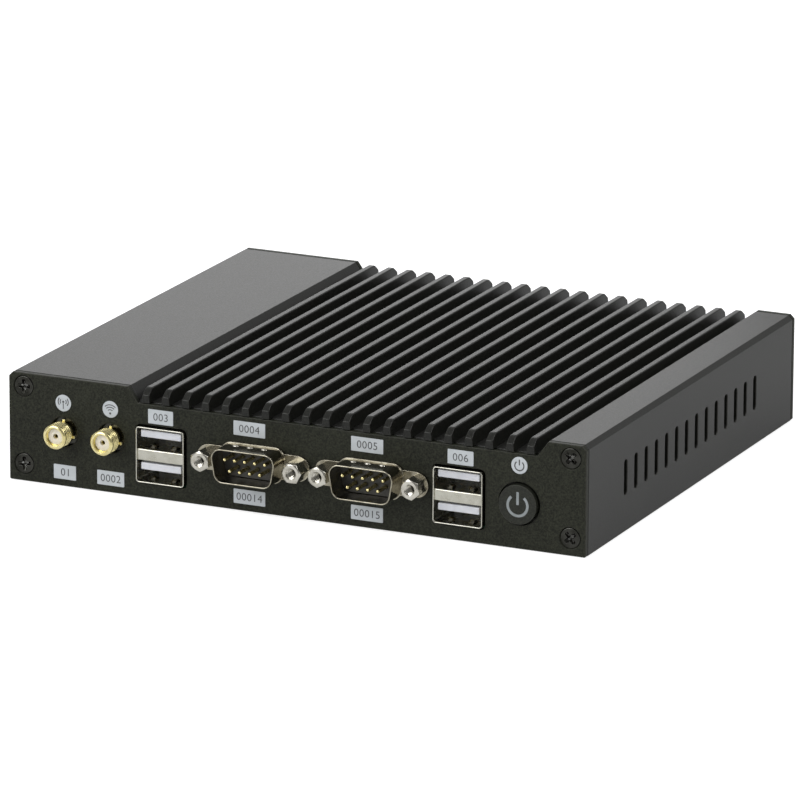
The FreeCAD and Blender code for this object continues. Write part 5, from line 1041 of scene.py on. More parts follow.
# %% Screws
HEAD_RADIUS = 2.58
HEAD_DEPTH = 0.12
HEAD_LIP = 0.2
HEAD_RIM = 0.18
SHANK_RADIUS = 1.45
SEAT_RADIUS = 2.84
NECK_RADIUS = 1.55
CROSS_SPAN = 3.5
CROSS_WIDTH = 1.0
CROSS_DEPTH = 1.2
CROSS_FLOOR_SPAN = 1.0
CROSS_FLOOR_WIDTH = 0.45
CROSS_RIM = 0.07
RECESS_WORN = (0, 0, 1.0, 0.4)
HEAD_WORN = 0.1
SCREW_THREAD_PITCH = 0.5
SCREW_THREAD_DEPTH = 0.2
SCREW_STEPS = 48
FRONT_TURNS = (4, 0, 40, 48)
REAR_TURNS = (10, 25, 60, 75)
COVER_TURNS = (30, 62, 15, 80)


def cross_outline(span, width, turn):
    """A plus sign of two bars, turned by an angle; its twelve corners are small arcs."""
    s, w = span / 2, width / 2
    corners = np.array([(w, -s), (w, -w), (s, -w), (s, w), (w, w), (w, s), (-w, s), (-w, w), (-s, w), (-s, -w),
                        (-w, -w), (-w, -s)])
    radii = np.array([0.3, 0.25, 0.3] * 4) * width
    angle = math.radians(turn)
    matrix = np.array([[math.cos(angle), math.sin(angle)], [-math.sin(angle), math.cos(angle)]])
    return rounded_outline(corners, radii, 4) @ matrix


def screw(turn, length):
    """Head, cross recess and shank, facing -Y at the origin: circle rows outside, cross rows inside."""
    mouth = cross_outline(CROSS_SPAN, CROSS_WIDTH, turn)
    floor_cross = cross_outline(CROSS_FLOOR_SPAN, CROSS_FLOOR_WIDTH, turn)
    offsets, depths, wear_and_edge_light = rim(HEAD_RIM)
    cone = HEAD_RADIUS - SHANK_RADIUS
    outer = ring_rows(0, 0, HEAD_RADIUS + np.append(offsets, [0, -cone]),
                      np.append(depths, [HEAD_LIP + 0.02, cone]), SCREW_STEPS)
    mouth_offsets, mouth_depths, mouth_worn = rim(CROSS_RIM)
    inner = list(stack(mouth, -mouth_offsets, mouth_depths, front_plane))
    for share in (0.25, 0.5, 0.75, 1.0):
        inner.append(front_plane(mouth * (1 - share) + floor_cross * share,
                                 CROSS_RIM + (CROSS_DEPTH - CROSS_RIM) * share))
    radii, places = threaded_rows(SHANK_RADIUS, SCREW_THREAD_DEPTH, SCREW_THREAD_PITCH, cone, length, 0.4,
                                  SCREW_STEPS, 6)
    return join(fill([outer[0], inner[0]]), weave(outer, np.append(HEAD_WORN * wear_and_edge_light, [0, 0])),
                weave(inner, np.append(HEAD_WORN * mouth_worn, RECESS_WORN)), plug(inner[-1]),
                lathe(0, 0, radii, places, steps=SCREW_STEPS, close_start=False))


TO_FRONT = np.diag([1, 1, 1])
TO_REAR = np.diag([-1, -1, 1])
TO_GROUND = np.array([[1, 0, 0], [0, 0, 1], [0, -1, 0]])
PANEL_SCREWS = [(x, z) for x in (4.1, WIDTH - 4.1) for z in (4.45, HEIGHT - 3.45)]
COVER_SCREWS = [(x, y) for x in (5.6, WIDTH - 5.6) for y in (26.0, DEPTH - 26.0)]
SCREW_SETS = {  # piece: (node, places, turns, length, facing)
    "panel_screws_front": ("front_panel_screws", front_plane(PANEL_SCREWS, HEAD_DEPTH), FRONT_TURNS, 8.0,
                           TO_FRONT),
    "panel_screws_rear": ("rear_panel_screws", front_plane(PANEL_SCREWS, DEPTH - HEAD_DEPTH), REAR_TURNS, 8.0,
                          TO_REAR),
    "cover_screws": ("bottom_cover_screws", ground_plane(COVER_SCREWS, HEAD_DEPTH), COVER_TURNS, 5.0,
                     TO_GROUND),
}
for name, (node, places, turns, length, facing) in SCREW_SETS.items():
    parts = []
    for place, turn in zip(places, turns):
        points, wear_and_edge_light, faces = screw(turn, length)
        parts.append((points @ facing + place, wear_and_edge_light, faces))
    build(name, join(*parts), BLACKED_STEEL_AND_SHADE, [node])

# %% [markdown]
# Both end panels are painted sheet, cut to the outline of the case and dipped in the middle.
# The front one has round holes for the jacks and the button, rounded rectangles for the data
# ports, and D shaped holes behind the serial connectors. The screw seats are countersunk.

# %% End panels
PANEL_DIP = 24.1
PANEL_RIM = 0.2
PANEL_BACK_RIM = 0.3
ANTENNA_Z = 14.0
ANTENNA_XS = (15.25, 28.35)
DATA_WIDTH = 13.3
DATA_HEIGHT = 14.4
DATA_CORNER = 0.9
CUTOUT_GAP = 0.45
ANTENNA_HOLE = 3.8
DATA_XS = tuple(node_middle(f"data_port_shell_{number}")[0] for number in (1, 2))
DATA_Z = node_middle("data_port_shell_1")[2]
SERIAL_XS = tuple(node_middle(f"serial_shell_{number}")[0] for number in (1, 2))
SERIAL_Z = 12.9
JACKSCREW_REACH = 12.5
BUTTON_X, _, BUTTON_Z = node_middle("power_button_cap")
BUTTON_HOLE = 5.5
SERIAL_WIDTH = 18.2
SERIAL_HEIGHT = 8.75
SERIAL_CORNER = 2.6
SERIAL_LEAN = math.tan(math.radians(10))
JACKSCREW_HOLE = 1.57
JACKSCREW_PLACES = [(x + side * JACKSCREW_REACH, SERIAL_Z) for x in SERIAL_XS for side in (-1, 1)]
SEAT_RIM = 0.1


def d_outline(x, z, extra, steps=10):
    """The D shape, wider at its top: half bottom = half top - height * lean, with rounded corners."""
    half_height = SERIAL_HEIGHT / 2 + extra
    half_top = SERIAL_WIDTH / 2 + extra
    half_bottom = half_top - 2 * half_height * SERIAL_LEAN
    return trapezoid(x, z, half_bottom, half_top, half_height, SERIAL_CORNER + extra, steps)


def panel_outline():
    """The case's outline with a dip that passes under the fins."""
    dip_run = SLOPE_RUN * (HEIGHT - PANEL_DIP) / (HEIGHT - FIN_FLOOR)
    corners = [(0, 0), (WIDTH, 0), (WIDTH, HEIGHT - EDGE_BEVEL), (WIDTH - EDGE_BEVEL, HEIGHT),
               (RIGHT_SHOULDER, HEIGHT), (RIGHT_SHOULDER - dip_run, PANEL_DIP),
               (LEFT_SHOULDER + dip_run, PANEL_DIP), (LEFT_SHOULDER, HEIGHT), (EDGE_BEVEL, HEIGHT),
               (0, HEIGHT - EDGE_BEVEL)]
    radii = [0.35, 0.35] + [0.3] * 8
    return rounded_outline(corners, radii, 6)


def seat(x, z, thickness=PANEL_THICKNESS):
    """A countersunk hole: soft mouth, short lip, cone down to the neck."""
    offsets, depths, wear_and_edge_light = rim(SEAT_RIM)
    return (circle(x, z, SEAT_RADIUS, 48), np.append(-offsets, [0, NECK_RADIUS - SEAT_RADIUS]),
            np.append(depths, [HEAD_LIP, thickness]), np.append(wear_and_edge_light, [0, 0]))


def panel(name, node, openings, face, thickness):
    """A painted end panel with four screw seats and openings given as (outline, mouth radius)."""
    holes = [seat(x, z) for x, z in PANEL_SCREWS]
    holes += [hole(outline, edge, PANEL_THICKNESS) for outline, edge in openings]
    build(name, sheet(panel_outline(), holes, face, thickness, PANEL_RIM, back_edge=PANEL_BACK_RIM),
          PANEL_PAINT, [node])


openings = [(circle(x, ANTENNA_Z, ANTENNA_HOLE), 0.25) for x in ANTENNA_XS]
openings += [(rounded_rectangle(x, DATA_Z, DATA_WIDTH + 2 * CUTOUT_GAP, DATA_HEIGHT + 2 * CUTOUT_GAP,
                                DATA_CORNER + CUTOUT_GAP), 0.15) for x in DATA_XS]
openings += [(d_outline(x, SERIAL_Z, 0.15), 0.1) for x in SERIAL_XS]
openings += [(circle(x, z, JACKSCREW_HOLE, 32), 0.05) for x, z in JACKSCREW_PLACES]
openings.append((circle(BUTTON_X, BUTTON_Z, BUTTON_HOLE, 96), 0.1))
panel("front_sheet", "front_panel", openings, 0.0, PANEL_THICKNESS)

BOARD_TOP = node_box("data_port_shell_1")[0][2]
REAR_GAP = 0.15
INLET_LOW, INLET_HIGH = node_box("inlet_body")
VIDEO_LOW, VIDEO_HIGH = node_box("video_shell")
SOUND_MIDDLE = node_middle("sound_socket")
LAN_BOXES = [node_box(f"lan_shell_{number}") for number in (1, 2)]
VIDEO_CUT = 1.5
SOUND_HOLE = 3.25


def video_outline(extra):
    """The video socket's outline: a rectangle whose two lower corners are cut at 45 degrees."""
    left, _, low = VIDEO_LOW - extra
    right, _, high = VIDEO_HIGH + extra
    slant = VIDEO_CUT + extra * (math.sqrt(2) - 1)
    corners = [(left + slant, low), (right - slant, low), (right, low + slant), (right, high), (left, high),
               (left, low + slant)]
    return rounded_outline(corners, 0.4, 5)


def box_outline(low, high, radius=0.3):
    """A rounded rectangle round a node's box, seen from the front, grown by a gap."""
    x, _, z = (low + high) / 2
    width, _, height = high - low
    return rounded_rectangle(x, z, width + 2 * REAR_GAP, height + 2 * REAR_GAP, radius)


outlines = [box_outline(INLET_LOW, INLET_HIGH), video_outline(REAR_GAP)]
outlines += [box_outline(low, high) for low, high in LAN_BOXES]
outlines.append(circle(SOUND_MIDDLE[0], SOUND_MIDDLE[2], SOUND_HOLE))
panel("rear_sheet", "rear_panel", [(outline, 0.12) for outline in outlines], DEPTH, -PANEL_THICKNESS)

cover_low, cover_high = node_box("bottom_cover")
cover_outline = rounded_rectangle(*(cover_low + cover_high)[:2] / 2, *(cover_high - cover_low)[:2], 0.6)
cover_seats = [seat(x, y, COVER_THICKNESS) for x, y in COVER_SCREWS]
build("underside_cover", sheet(cover_outline, cover_seats, 0.0, COVER_THICKNESS, 0.15, plane=ground_plane),
      CASE_PAINT, ["bottom_cover"])

# %% [markdown]
# An antenna jack is a gold plated brass barrel with a fine thread. The flanks that face the
# front catch the light, so the barrel looks bright from here although the panel behind it is
# black. A white sleeve sits inside it and holds the centre contact, and a thin ring with four
# lugs shows behind it in the panel's hole. The block that carries it inside is drawn dark, as
# painted shade in the hole round the barrel.

# %% Antenna jacks
JACK_BLOCK_LOW, JACK_BLOCK_HIGH = node_box("antenna_jack_1")
JACK_FRONT = JACK_BLOCK_LOW[1]
JACK_BLOCK_SIZE = JACK_BLOCK_HIGH[0] - JACK_BLOCK_LOW[0]
JACK_RADIUS = 3.175
JACK_BORE = 2.3
JACK_SLEEVE = 2.05
JACK_SHOULDER = -1.2
JACK_NECK = 2.75
JACK_NOSE = 0.4
JACK_THREAD_PITCH = 0.71
JACK_THREAD_DEPTH = 0.2
JACK_BLOCK_FRONT = 1.9
SLEEVE_RECESS = 1.0
CONTACT_TIP = -3.8
CONTACT_RADIUS = 0.65
CONTACT_BORE = 0.45
RING_BACK = -0.7
RING_RADIUS = 3.05
RING_LUG_RADIUS = 3.7
RING_LUG_HALF = 0.35
RING_LUG_TURN = 79.0


def antenna_jack(x):
    """Bore, face, slanted nose, threaded barrel, shoulder and neck as one profile, with the block behind."""
    nose_end = JACK_FRONT + JACK_NOSE
    barrel, places = threaded_rows(JACK_RADIUS, JACK_THREAD_DEPTH, JACK_THREAD_PITCH, nose_end + 0.15,
                                   JACK_SHOULDER - 0.2, 0.5)
    inner = [(JACK_SLEEVE, JACK_BLOCK_FRONT), (JACK_SLEEVE, JACK_FRONT + SLEEVE_RECESS),
             (JACK_BORE, JACK_FRONT + SLEEVE_RECESS), (JACK_BORE, JACK_FRONT + 0.1),
             (JACK_BORE + 0.04, JACK_FRONT + 0.03), (JACK_BORE + 0.12, JACK_FRONT)]
    face = [(JACK_RADIUS - JACK_NOSE - 0.12, JACK_FRONT), (JACK_RADIUS - JACK_NOSE - 0.03, JACK_FRONT + 0.03),
            (JACK_RADIUS - 0.05, nose_end - 0.04), (JACK_RADIUS, nose_end + 0.06)]
    outer = [(JACK_RADIUS, JACK_SHOULDER - 0.12), (JACK_RADIUS - 0.04, JACK_SHOULDER - 0.03),
             (JACK_RADIUS - 0.14, JACK_SHOULDER), (JACK_NECK, JACK_SHOULDER), (JACK_NECK, JACK_BLOCK_FRONT)]
    rows = profile_rows(x, ANTENNA_Z, inner + face + list(zip(barrel, places)) + outer)
    return join(weave(rows), fill([rows[0], rows[-1]]))


def antenna_block(x):
    """A block with rounded front edges and a hole through it for the sleeve."""
    height = JACK_BLOCK_HIGH[2] - BOARD_TOP
    outline = rounded_rectangle(x, BOARD_TOP + height / 2, JACK_BLOCK_SIZE, height, 0.25)
    thickness = JACK_BLOCK_HIGH[1] - JACK_BLOCK_FRONT
    return sheet(outline, [hole(circle(x, ANTENNA_Z, JACK_SLEEVE), 0.05, thickness)], JACK_BLOCK_FRONT,
                 thickness, 0.2)


def antenna_sleeve(x):
    """A white tube round the contact, its front edges rounded by an eighth of a millimetre."""
    front = JACK_FRONT + SLEEVE_RECESS
    back = JACK_BLOCK_HIGH[1]
    profile = [(CONTACT_RADIUS, back), (CONTACT_RADIUS, front + 0.1), (CONTACT_RADIUS + 0.1, front),
               (JACK_SLEEVE - 0.12, front), (JACK_SLEEVE - 0.03, front + 0.03), (JACK_SLEEVE, front + 0.12),
               (JACK_SLEEVE, back), (CONTACT_RADIUS, back)]
    return turned(x, ANTENNA_Z, profile, 48, close_start=False, close_end=False)


def antenna_contact(x):
    """A gold tube with a rounded lip; its bore is closed at the panel's face."""
    lip = 0.06
    profile = [(CONTACT_BORE, 0.0), (CONTACT_BORE, CONTACT_TIP + lip), (CONTACT_BORE + lip, CONTACT_TIP),
               (CONTACT_RADIUS - lip, CONTACT_TIP), (CONTACT_RADIUS, CONTACT_TIP + lip),
               (CONTACT_RADIUS, JACK_BLOCK_HIGH[1])]
    return turned(x, ANTENNA_Z, profile, 32)


def antenna_ring(x):
    """A thin ring whose radius steps out to that of a lug at four places."""
    half = math.degrees(math.asin(RING_LUG_HALF / RING_LUG_RADIUS))
    root = math.degrees(math.asin(RING_LUG_HALF / RING_RADIUS))
    outline = []
    for quarter in range(4):
        middle = RING_LUG_TURN + 90 * quarter
        angles = np.radians(np.concatenate([[middle - root, middle - half, middle - half / 3, middle + half / 3,
                                             middle + half, middle + root],
                                            np.linspace(middle + root + 6, middle + 84 - root, 10)]))
        radii = np.array([RING_RADIUS] + [RING_LUG_RADIUS] * 4 + [RING_RADIUS] * 11)
        outline.append(np.stack([x + radii * np.cos(angles), ANTENNA_Z + radii * np.sin(angles)], axis=1))
    thickness = RING_BACK - JACK_SHOULDER
    return sheet(np.concatenate(outline), [hole(circle(x, ANTENNA_Z, JACK_NECK + 0.05), 0.03, thickness)],
                 JACK_SHOULDER, thickness, 0.06)


for number, x in enumerate(ANTENNA_XS, 1):
    build(f"threaded_jack_{number}", antenna_jack(x), GOLD, [f"antenna_jack_{number}"])
for name, make, slot, material, nodes in (
        # the blocks are drawn dark as painted shade in the holes round the barrels
        ("jack_blocks", antenna_block, "gold", BLACKED_STEEL_AND_SHADE, []),
        ("jack_sleeves", antenna_sleeve, "white_insulator", SLEEVE_WHITE, ["antenna_insulators"]),
        ("jack_contacts", antenna_contact, "gold", GOLD, ["antenna_contacts"]),
        ("jack_rings", antenna_ring, "gold", GOLD, ["antenna_rings"])):
    build(name, join(*[make(x) for x in ANTENNA_XS]), material, nodes)

# %% [markdown]
# A data port is a tin plated tube for two plugs, one above the other. A folded sheet divides
# it, two pressed springs rise from each floor, and a white tongue hangs in each opening.

# %% Data ports
DATA_FRONT, DATA_BACK = (corner[1] for corner in node_box("data_port_shell_1"))
DATA_WALL = 0.34
DATA_LIP = 0.16
DIVIDER_LOW = 9.5
DIVIDER_HIGH = 12.55
DIVIDER_FRONT = -0.3
DIVIDER_SHEET = 0.35
DIVIDER_BACK = DATA_BACK - 5.25
DIVIDER_BEND = 0.36
TONGUE_WIDTH = 11.1
TONGUE_THICKNESS = 1.8
TONGUE_FRONT = 0.05
TONGUE_LOWS = (DIVIDER_LOW - 2.35, BOARD_TOP + DATA_HEIGHT - DATA_WALL - 2.4)
SPRING_XS = (-2.9, 2.9)
SPRING_WIDTH = 1.3
SPRING_PLACES = (0.5, 2.1, 4.6)
SPRING_RISE = 0.95
SPRING_SOFT = 0.12
SPRING_FLOORS = (BOARD_TOP + DATA_WALL, DIVIDER_HIGH)


def cup(outline, front, back, wall, lip):
    """A tube closed at its back: outer wall, rounded lip, inner wall and inner floor."""
    offsets, depths, wear_and_edge_light = rim(lip)
    rows = stack(outline, np.concatenate([[0], offsets[::-1], -wall - offsets, [-wall]]),
                 np.concatenate([[back], front + depths[::-1], front + depths, [back - wall]]), front_plane)
    return capped(rows, np.concatenate([[0], wear_and_edge_light[::-1], wear_and_edge_light, [0]]), plug)


def folded_divider(x):
    """A sheet folded into a flat U whose closed end faces the front; both its bends are round."""
    front, low, high = DIVIDER_FRONT + DIVIDER_SHEET, DIVIDER_LOW + DIVIDER_SHEET, DIVIDER_HIGH - DIVIDER_SHEET
    corners = [(DIVIDER_FRONT, DIVIDER_LOW), (DIVIDER_BACK, DIVIDER_LOW), (DIVIDER_BACK, low), (front, low),
               (front, high), (DIVIDER_BACK, high), (DIVIDER_BACK, DIVIDER_HIGH), (DIVIDER_FRONT, DIVIDER_HIGH)]
    outline = rounded_outline(corners, [DIVIDER_BEND, 0.1, 0.1, 0.05, 0.05, 0.1, 0.1, DIVIDER_BEND])
    half = DATA_WIDTH / 2 - DATA_WALL
    return capped(np.array([side_plane(outline, x - half), side_plane(outline, x + half)]), end=plug)


def pressed_spring(x, floor):
    """A tab that rises from the floor and falls again: rise * sin^2 of the share of each flank."""
    first, peak, last = SPRING_PLACES
    y = np.concatenate([np.linspace(first, peak, 8), np.linspace(peak, last, 8)[1:]])
    share = np.where(y < peak, (y - first) / (peak - first), (last - y) / (last - peak))
    top = floor - 0.1 + (SPRING_RISE + 0.1) * np.sin(share * np.pi / 2) ** 2
    half = SPRING_WIDTH / 2
    across = np.array([-half, -half, SPRING_SOFT - half, half - SPRING_SOFT, half, half])
    drop = np.array([np.inf, SPRING_SOFT, 0, 0, SPRING_SOFT, np.inf])
    heights = np.maximum(top[:, None] - drop, floor - 0.15 + np.where(np.isinf(drop), 0, 0.01))
    rows = np.stack([x + np.broadcast_to(across, heights.shape), np.broadcast_to(y[:, None], heights.shape),
                     heights], axis=-1)
    return capped(rows)


def data_tube(x):
    """The outer tube with its rounded lip, and the divider."""
    outline = rounded_rectangle(x, DATA_Z, DATA_WIDTH, DATA_HEIGHT, DATA_CORNER, 8)
    return join(cup(outline, DATA_FRONT, DATA_BACK, DATA_WALL, DATA_LIP), folded_divider(x))


def data_tongues(x):
    """Two white tongues with rounded fronts, and the block at the back that carries them."""
    back = DATA_BACK - DATA_WALL - 4.8
    tongues = [slab(rounded_rectangle(x, low + TONGUE_THICKNESS / 2, TONGUE_WIDTH, TONGUE_THICKNESS, 0.22),
                    TONGUE_FRONT, back - TONGUE_FRONT, 0.2) for low in TONGUE_LOWS]
    width = DATA_WIDTH - 2 * DATA_WALL - 0.1
    high = BOARD_TOP + DATA_HEIGHT - 0.9
    block = rounded_rectangle(x, (BOARD_TOP + high) / 2, width, high - BOARD_TOP, 0.3)
    return join(slab(block, back, 4.75, 0.15), *tongues)


for number, x in enumerate(DATA_XS, 1):
    build(f"data_tube_{number}", data_tube(x), TIN, [f"data_port_shell_{number}"])
    springs = [pressed_spring(x + side, floor) for side in SPRING_XS for floor in SPRING_FLOORS]
    # the springs take darker nickel in place of the tube's tin, as painted shade in the cavity under each
    # tongue
    build(f"data_springs_painted_shade_{number}", join(*springs), NICKEL_AND_SHADE)
    build(f"data_tongues_{number}", data_tongues(x), TONGUE_WHITE,
          [f"data_port_insulator_{number}"])

# %% [markdown]
# A serial connector is a nickel plated pressing: a flange with round ends and a D shaped tube
# that rises from it through a small fillet. Three dimples are pressed into the tube above and
# below, which grip the mating plug. They are drawn in a brighter nickel than the pressing, as a
# painted highlight.

# %% Serial connectors
SERIAL_FRONT = node_box("serial_shell_1")[0][1]
SERIAL_WALL = 0.36
SERIAL_ROOT = 0.16
FLANGE_THICKNESS = 0.8
FLANGE_LENGTH = 30.8
FLANGE_LOBE = 3.3
FLANGE_BORDER = 0.32
FLANGE_RIM = 0.07
DIMPLE_PITCH = 3.9
DIMPLE_PLACE = -2.6
DIMPLE_SIZE = (0.95, 0.55, 0.5)
DIMPLE_RISE = 0.3


def outline_union(first, second, x, z, steps=220):
    """The outline round two overlapping shapes: for each angle, the farthest crossing of a ray with an edge."""
    angles = np.arange(steps) * 2 * np.pi / steps
    ray = np.stack([np.cos(angles), np.sin(angles)], axis=1)
    reach = np.zeros(steps)
    for outline in (first, second):
        start = outline - np.array([x, z])
        edge = np.roll(start, -1, axis=0) - start
        cross = ray[:, None, 0] * edge[None, :, 1] - ray[:, None, 1] * edge[None, :, 0]
        cross = np.where(np.abs(cross) < 1e-12, 1e-12, cross)
        along_ray = (start[None, :, 0] * edge[None, :, 1] - start[None, :, 1] * edge[None, :, 0]) / cross
        along_edge = (start[None, :, 0] * ray[:, None, 1] - start[None, :, 1] * ray[:, None, 0]) / cross
        hit = (along_edge >= 0) & (along_edge <= 1) & (along_ray > 0)
        reach = np.maximum(reach, np.where(hit, along_ray, 0).max(axis=1))
    return np.array([x, z]) + ray * reach[:, None]


def dimple(x, face, steps=16):
    """An ellipsoid cut flat inside the wall: circles with radius sin t at height cos t, scaled to its size."""
    tilt = np.linspace(0.001, np.pi - 0.001, 9)[:, None]
    angles = np.arange(steps) * 2 * np.pi / steps
    ring = [np.cos(tilt) * np.ones(steps), np.sin(tilt) * np.cos(angles), np.sin(tilt) * np.sin(angles)]
    rows = np.stack(ring, axis=-1) * np.array(DIMPLE_SIZE)
    inside = DIMPLE_SIZE[2] - DIMPLE_RISE - SERIAL_WALL + 0.05
    rows[..., 2] = face * np.maximum(face * rows[..., 2], inside)
    height = SERIAL_Z + face * (SERIAL_HEIGHT / 2 + DIMPLE_RISE - DIMPLE_SIZE[2])
    return capped(rows + np.array([x, DIMPLE_PLACE, height]))


def serial_pressing(x, screw_places):
    """Flange front and back, and the tube with its root fillet, rounded lip and inner wall."""
    bar = rounded_rectangle(x, SERIAL_Z, FLANGE_LENGTH, 2 * FLANGE_LOBE, FLANGE_LOBE - 0.01, 12)
    flange = outline_union(bar, d_outline(x, SERIAL_Z, FLANGE_BORDER), x, SERIAL_Z)
    offsets, depths, wear_and_edge_light = rim(FLANGE_RIM)
    flange_rows = stack(flange, np.append(offsets, 0), np.append(depths - FLANGE_THICKNESS, 0), front_plane)
    screw_rows = [stack(circle(*place, JACKSCREW_HOLE, 32), [0.05, 0, 0],
                        [-FLANGE_THICKNESS, 0.05 - FLANGE_THICKNESS, 0], front_plane) for place in screw_places]
    turn = np.linspace(0, np.pi / 2, 6)
    lip_offsets, lip_depths, lip_worn = rim(SERIAL_WALL / 2 - 0.01, 7)
    tube_offsets = np.concatenate([SERIAL_ROOT * (1 - np.sin(turn)), lip_offsets[::-1],
                                   -SERIAL_WALL - lip_offsets, [-SERIAL_WALL]])
    tube_depths = np.concatenate([-FLANGE_THICKNESS - SERIAL_ROOT * (1 - np.cos(turn)),
                                  SERIAL_FRONT + lip_depths[::-1], SERIAL_FRONT + lip_depths, [0]])
    tube_worn = np.concatenate([0 * turn, lip_worn[::-1], lip_worn, [0]])
    tube_rows = stack(d_outline(x, SERIAL_Z, 0), tube_offsets, tube_depths, front_plane)
    fills = [fill([flange_rows[end], tube_rows[end]] + [rows[end] for rows in screw_rows]) for end in (0, -1)]
    return join(*fills, weave(flange_rows, np.append(wear_and_edge_light, 0)), weave(tube_rows, tube_worn),
                *[weave(rows) for rows in screw_rows])


PIN_RADIUS = 0.5
PIN_PITCH = 2.74
PIN_ROW = 1.42
SERIAL_FLOOR = -1.0
SERIAL_BLOCK_FRONT = 1.9
WELL_RADIUS = PIN_RADIUS + 0.02


def pin_places(x):
    """Five pins above and four below, half a pitch apart."""
    upper = [(x + PIN_PITCH * step, SERIAL_Z + PIN_ROW) for step in range(-2, 3)]
    return upper + [(x + PIN_PITCH * (step + 0.5), SERIAL_Z - PIN_ROW) for step in range(-2, 2)]


def well_sheet(x, outline, face, back, funnel, edge):
    """A black slab pierced by a well round each pin, whose mouth is a funnel."""
    wells = [hole(circle(*place, WELL_RADIUS, 24), funnel, back - face) for place in pin_places(x)]
    return sheet(outline, wells, face, back - face, edge)


def serial_floor(x, node):
    """The D shaped black floor with a small funnel round each pin, and the block behind the panel."""
    low, high = node_box(node)
    block = rounded_rectangle(x, (BOARD_TOP + high[2]) / 2, high[0] - low[0], high[2] - BOARD_TOP, 0.3)
    return join(well_sheet(x, d_outline(x, SERIAL_Z, -SERIAL_WALL - 0.05), SERIAL_FLOOR, SERIAL_BLOCK_FRONT,
                           0.14, 0.12),
                well_sheet(x, block, SERIAL_BLOCK_FRONT, high[1], 0.02, 0.2))


dimples = [dimple(x + step * DIMPLE_PITCH, face) for x in SERIAL_XS for step in (-1, 0, 1) for face in (1, -1)]
# the dimples take the brighter nickel, as a painted highlight on the pressing
build("serial_dimples_painted_highlight", join(*dimples), BRIGHT_NICKEL_AND_HIGHLIGHT)
for number, x in enumerate(SERIAL_XS, 1):
    node = f"serial_insulator_{number}"
    build(f"serial_pressing_{number}", serial_pressing(x, JACKSCREW_PLACES[2 * number - 2:2 * number]),
          NICKEL_AND_SHADE, [f"serial_shell_{number}"])
    build(f"serial_floor_{number}", serial_floor(x, node), BLACK_PLASTIC, [node])

# %% [markdown]
# Four hexagonal jackscrews hold the flanges and take the plug's own screws in a threaded bore.
# A slanted turning cut takes the hexagon's corners off at the front, which leaves the curved
# scallops that every such nut has.

# %% Jackscrews
JACKSCREW_ACROSS = 4.8
JACKSCREW_FRONT, JACKSCREW_BACK = (corner[1] for corner in node_box("jackscrews"))
JACKSCREW_REAR = -FLANGE_THICKNESS
JACKSCREW_BORE = 1.1
JACKSCREW_MAJOR = 1.42
JACKSCREW_MOUTH = 1.35
JACKSCREW_BORE_END = -1.2
JACKSCREW_PITCH = 0.635
JACKSCREW_TURNS = (92, 2, 90, 100)
JACKSCREW_CUT = 0.25
JACKSCREW_CORNER = 1.14
JACKSCREW_SLANT = 1.3
HEX_STEPS = 96


def jackscrew(x, z, turn):
    """Radius = smaller of the hexagon, across / 2 / cos(angle mod 60 - 30), and the cone of the front cut."""
    half = JACKSCREW_ACROSS / 2
    angles = np.arange(HEX_STEPS) * 2 * np.pi / HEX_STEPS
    hexagon = np.minimum(half / np.cos(angles % (np.pi / 3) - np.pi / 6), half * JACKSCREW_CORNER)
    depth = np.append(np.linspace(0, 0.7, 12), [2.0, JACKSCREW_REAR - JACKSCREW_FRONT])
    outer = np.minimum(hexagon, (half - JACKSCREW_CUT + depth * JACKSCREW_SLANT)[:, None])
    thread, places = threaded_rows(JACKSCREW_MAJOR, JACKSCREW_MAJOR - JACKSCREW_BORE, JACKSCREW_PITCH,
                                   JACKSCREW_FRONT + 0.3, JACKSCREW_BORE_END - 0.3, 0.25, HEX_STEPS)
    profile = [(0.02, JACKSCREW_BORE_END), (JACKSCREW_BORE, JACKSCREW_BORE_END - 0.25)]
    profile += list(zip(thread[::-1], places[::-1]))
    profile += [(JACKSCREW_MOUTH, JACKSCREW_FRONT + 0.1), (JACKSCREW_MOUTH + 0.12, JACKSCREW_FRONT)]
    profile += list(zip(outer, JACKSCREW_FRONT + depth))
    profile += [(JACKSCREW_MAJOR, JACKSCREW_REAR), (JACKSCREW_MAJOR, JACKSCREW_BACK)]
    return capped(profile_rows(x, z, profile, HEX_STEPS, math.radians(turn)))


screws = [jackscrew(*place, turn) for place, turn in zip(JACKSCREW_PLACES, JACKSCREW_TURNS)]
build("hexagon_jackscrews", join(*screws), BRIGHT_NICKEL_AND_HIGHLIGHT, ["jackscrews"])

# %% [markdown]
# The pins are round wires with domed tips. Each runs back through the floor and bends down into
# the board, so it is drawn as circles that follow a path with a quarter turn in it.

# %% Serial pins
PIN_TIP = -5.9
PIN_FOOT = node_box("serial_pins")[0][2]
PIN_BENDS = (7.6, 4.9)
PIN_TURN_RADIUS = 0.8
PIN_STEPS = 20


def pin(x, z, bend):
    """Circles along a path: a quarter round tip, a straight, a quarter turn and the leg to the board."""
    around = np.arange(PIN_STEPS) * 2 * np.pi / PIN_STEPS
    tip = np.linspace(0.05, np.pi / 2, 6)
    turn = np.linspace(0, np.pi / 2, 6)
    centre_y = bend - PIN_TURN_RADIUS
    y = np.concatenate([PIN_TIP + PIN_RADIUS * (1 - np.cos(tip)), centre_y + PIN_TURN_RADIUS * np.sin(turn),
                        [bend]])
    drop = np.concatenate([np.zeros(6), PIN_TURN_RADIUS * (1 - np.cos(turn)), [z - PIN_FOOT]])
    tilt = np.concatenate([np.zeros(6), turn, [np.pi / 2]])
    radius = np.concatenate([PIN_RADIUS * np.sin(tip), np.full(7, PIN_RADIUS)])
    across = radius[:, None] * np.cos(around)
    lift = radius[:, None] * np.sin(around)
    rows = np.stack([x + across, y[:, None] + lift * np.sin(tilt)[:, None],
                     z - drop[:, None] + lift * np.cos(tilt)[:, None]], axis=-1)
    return capped(rows)


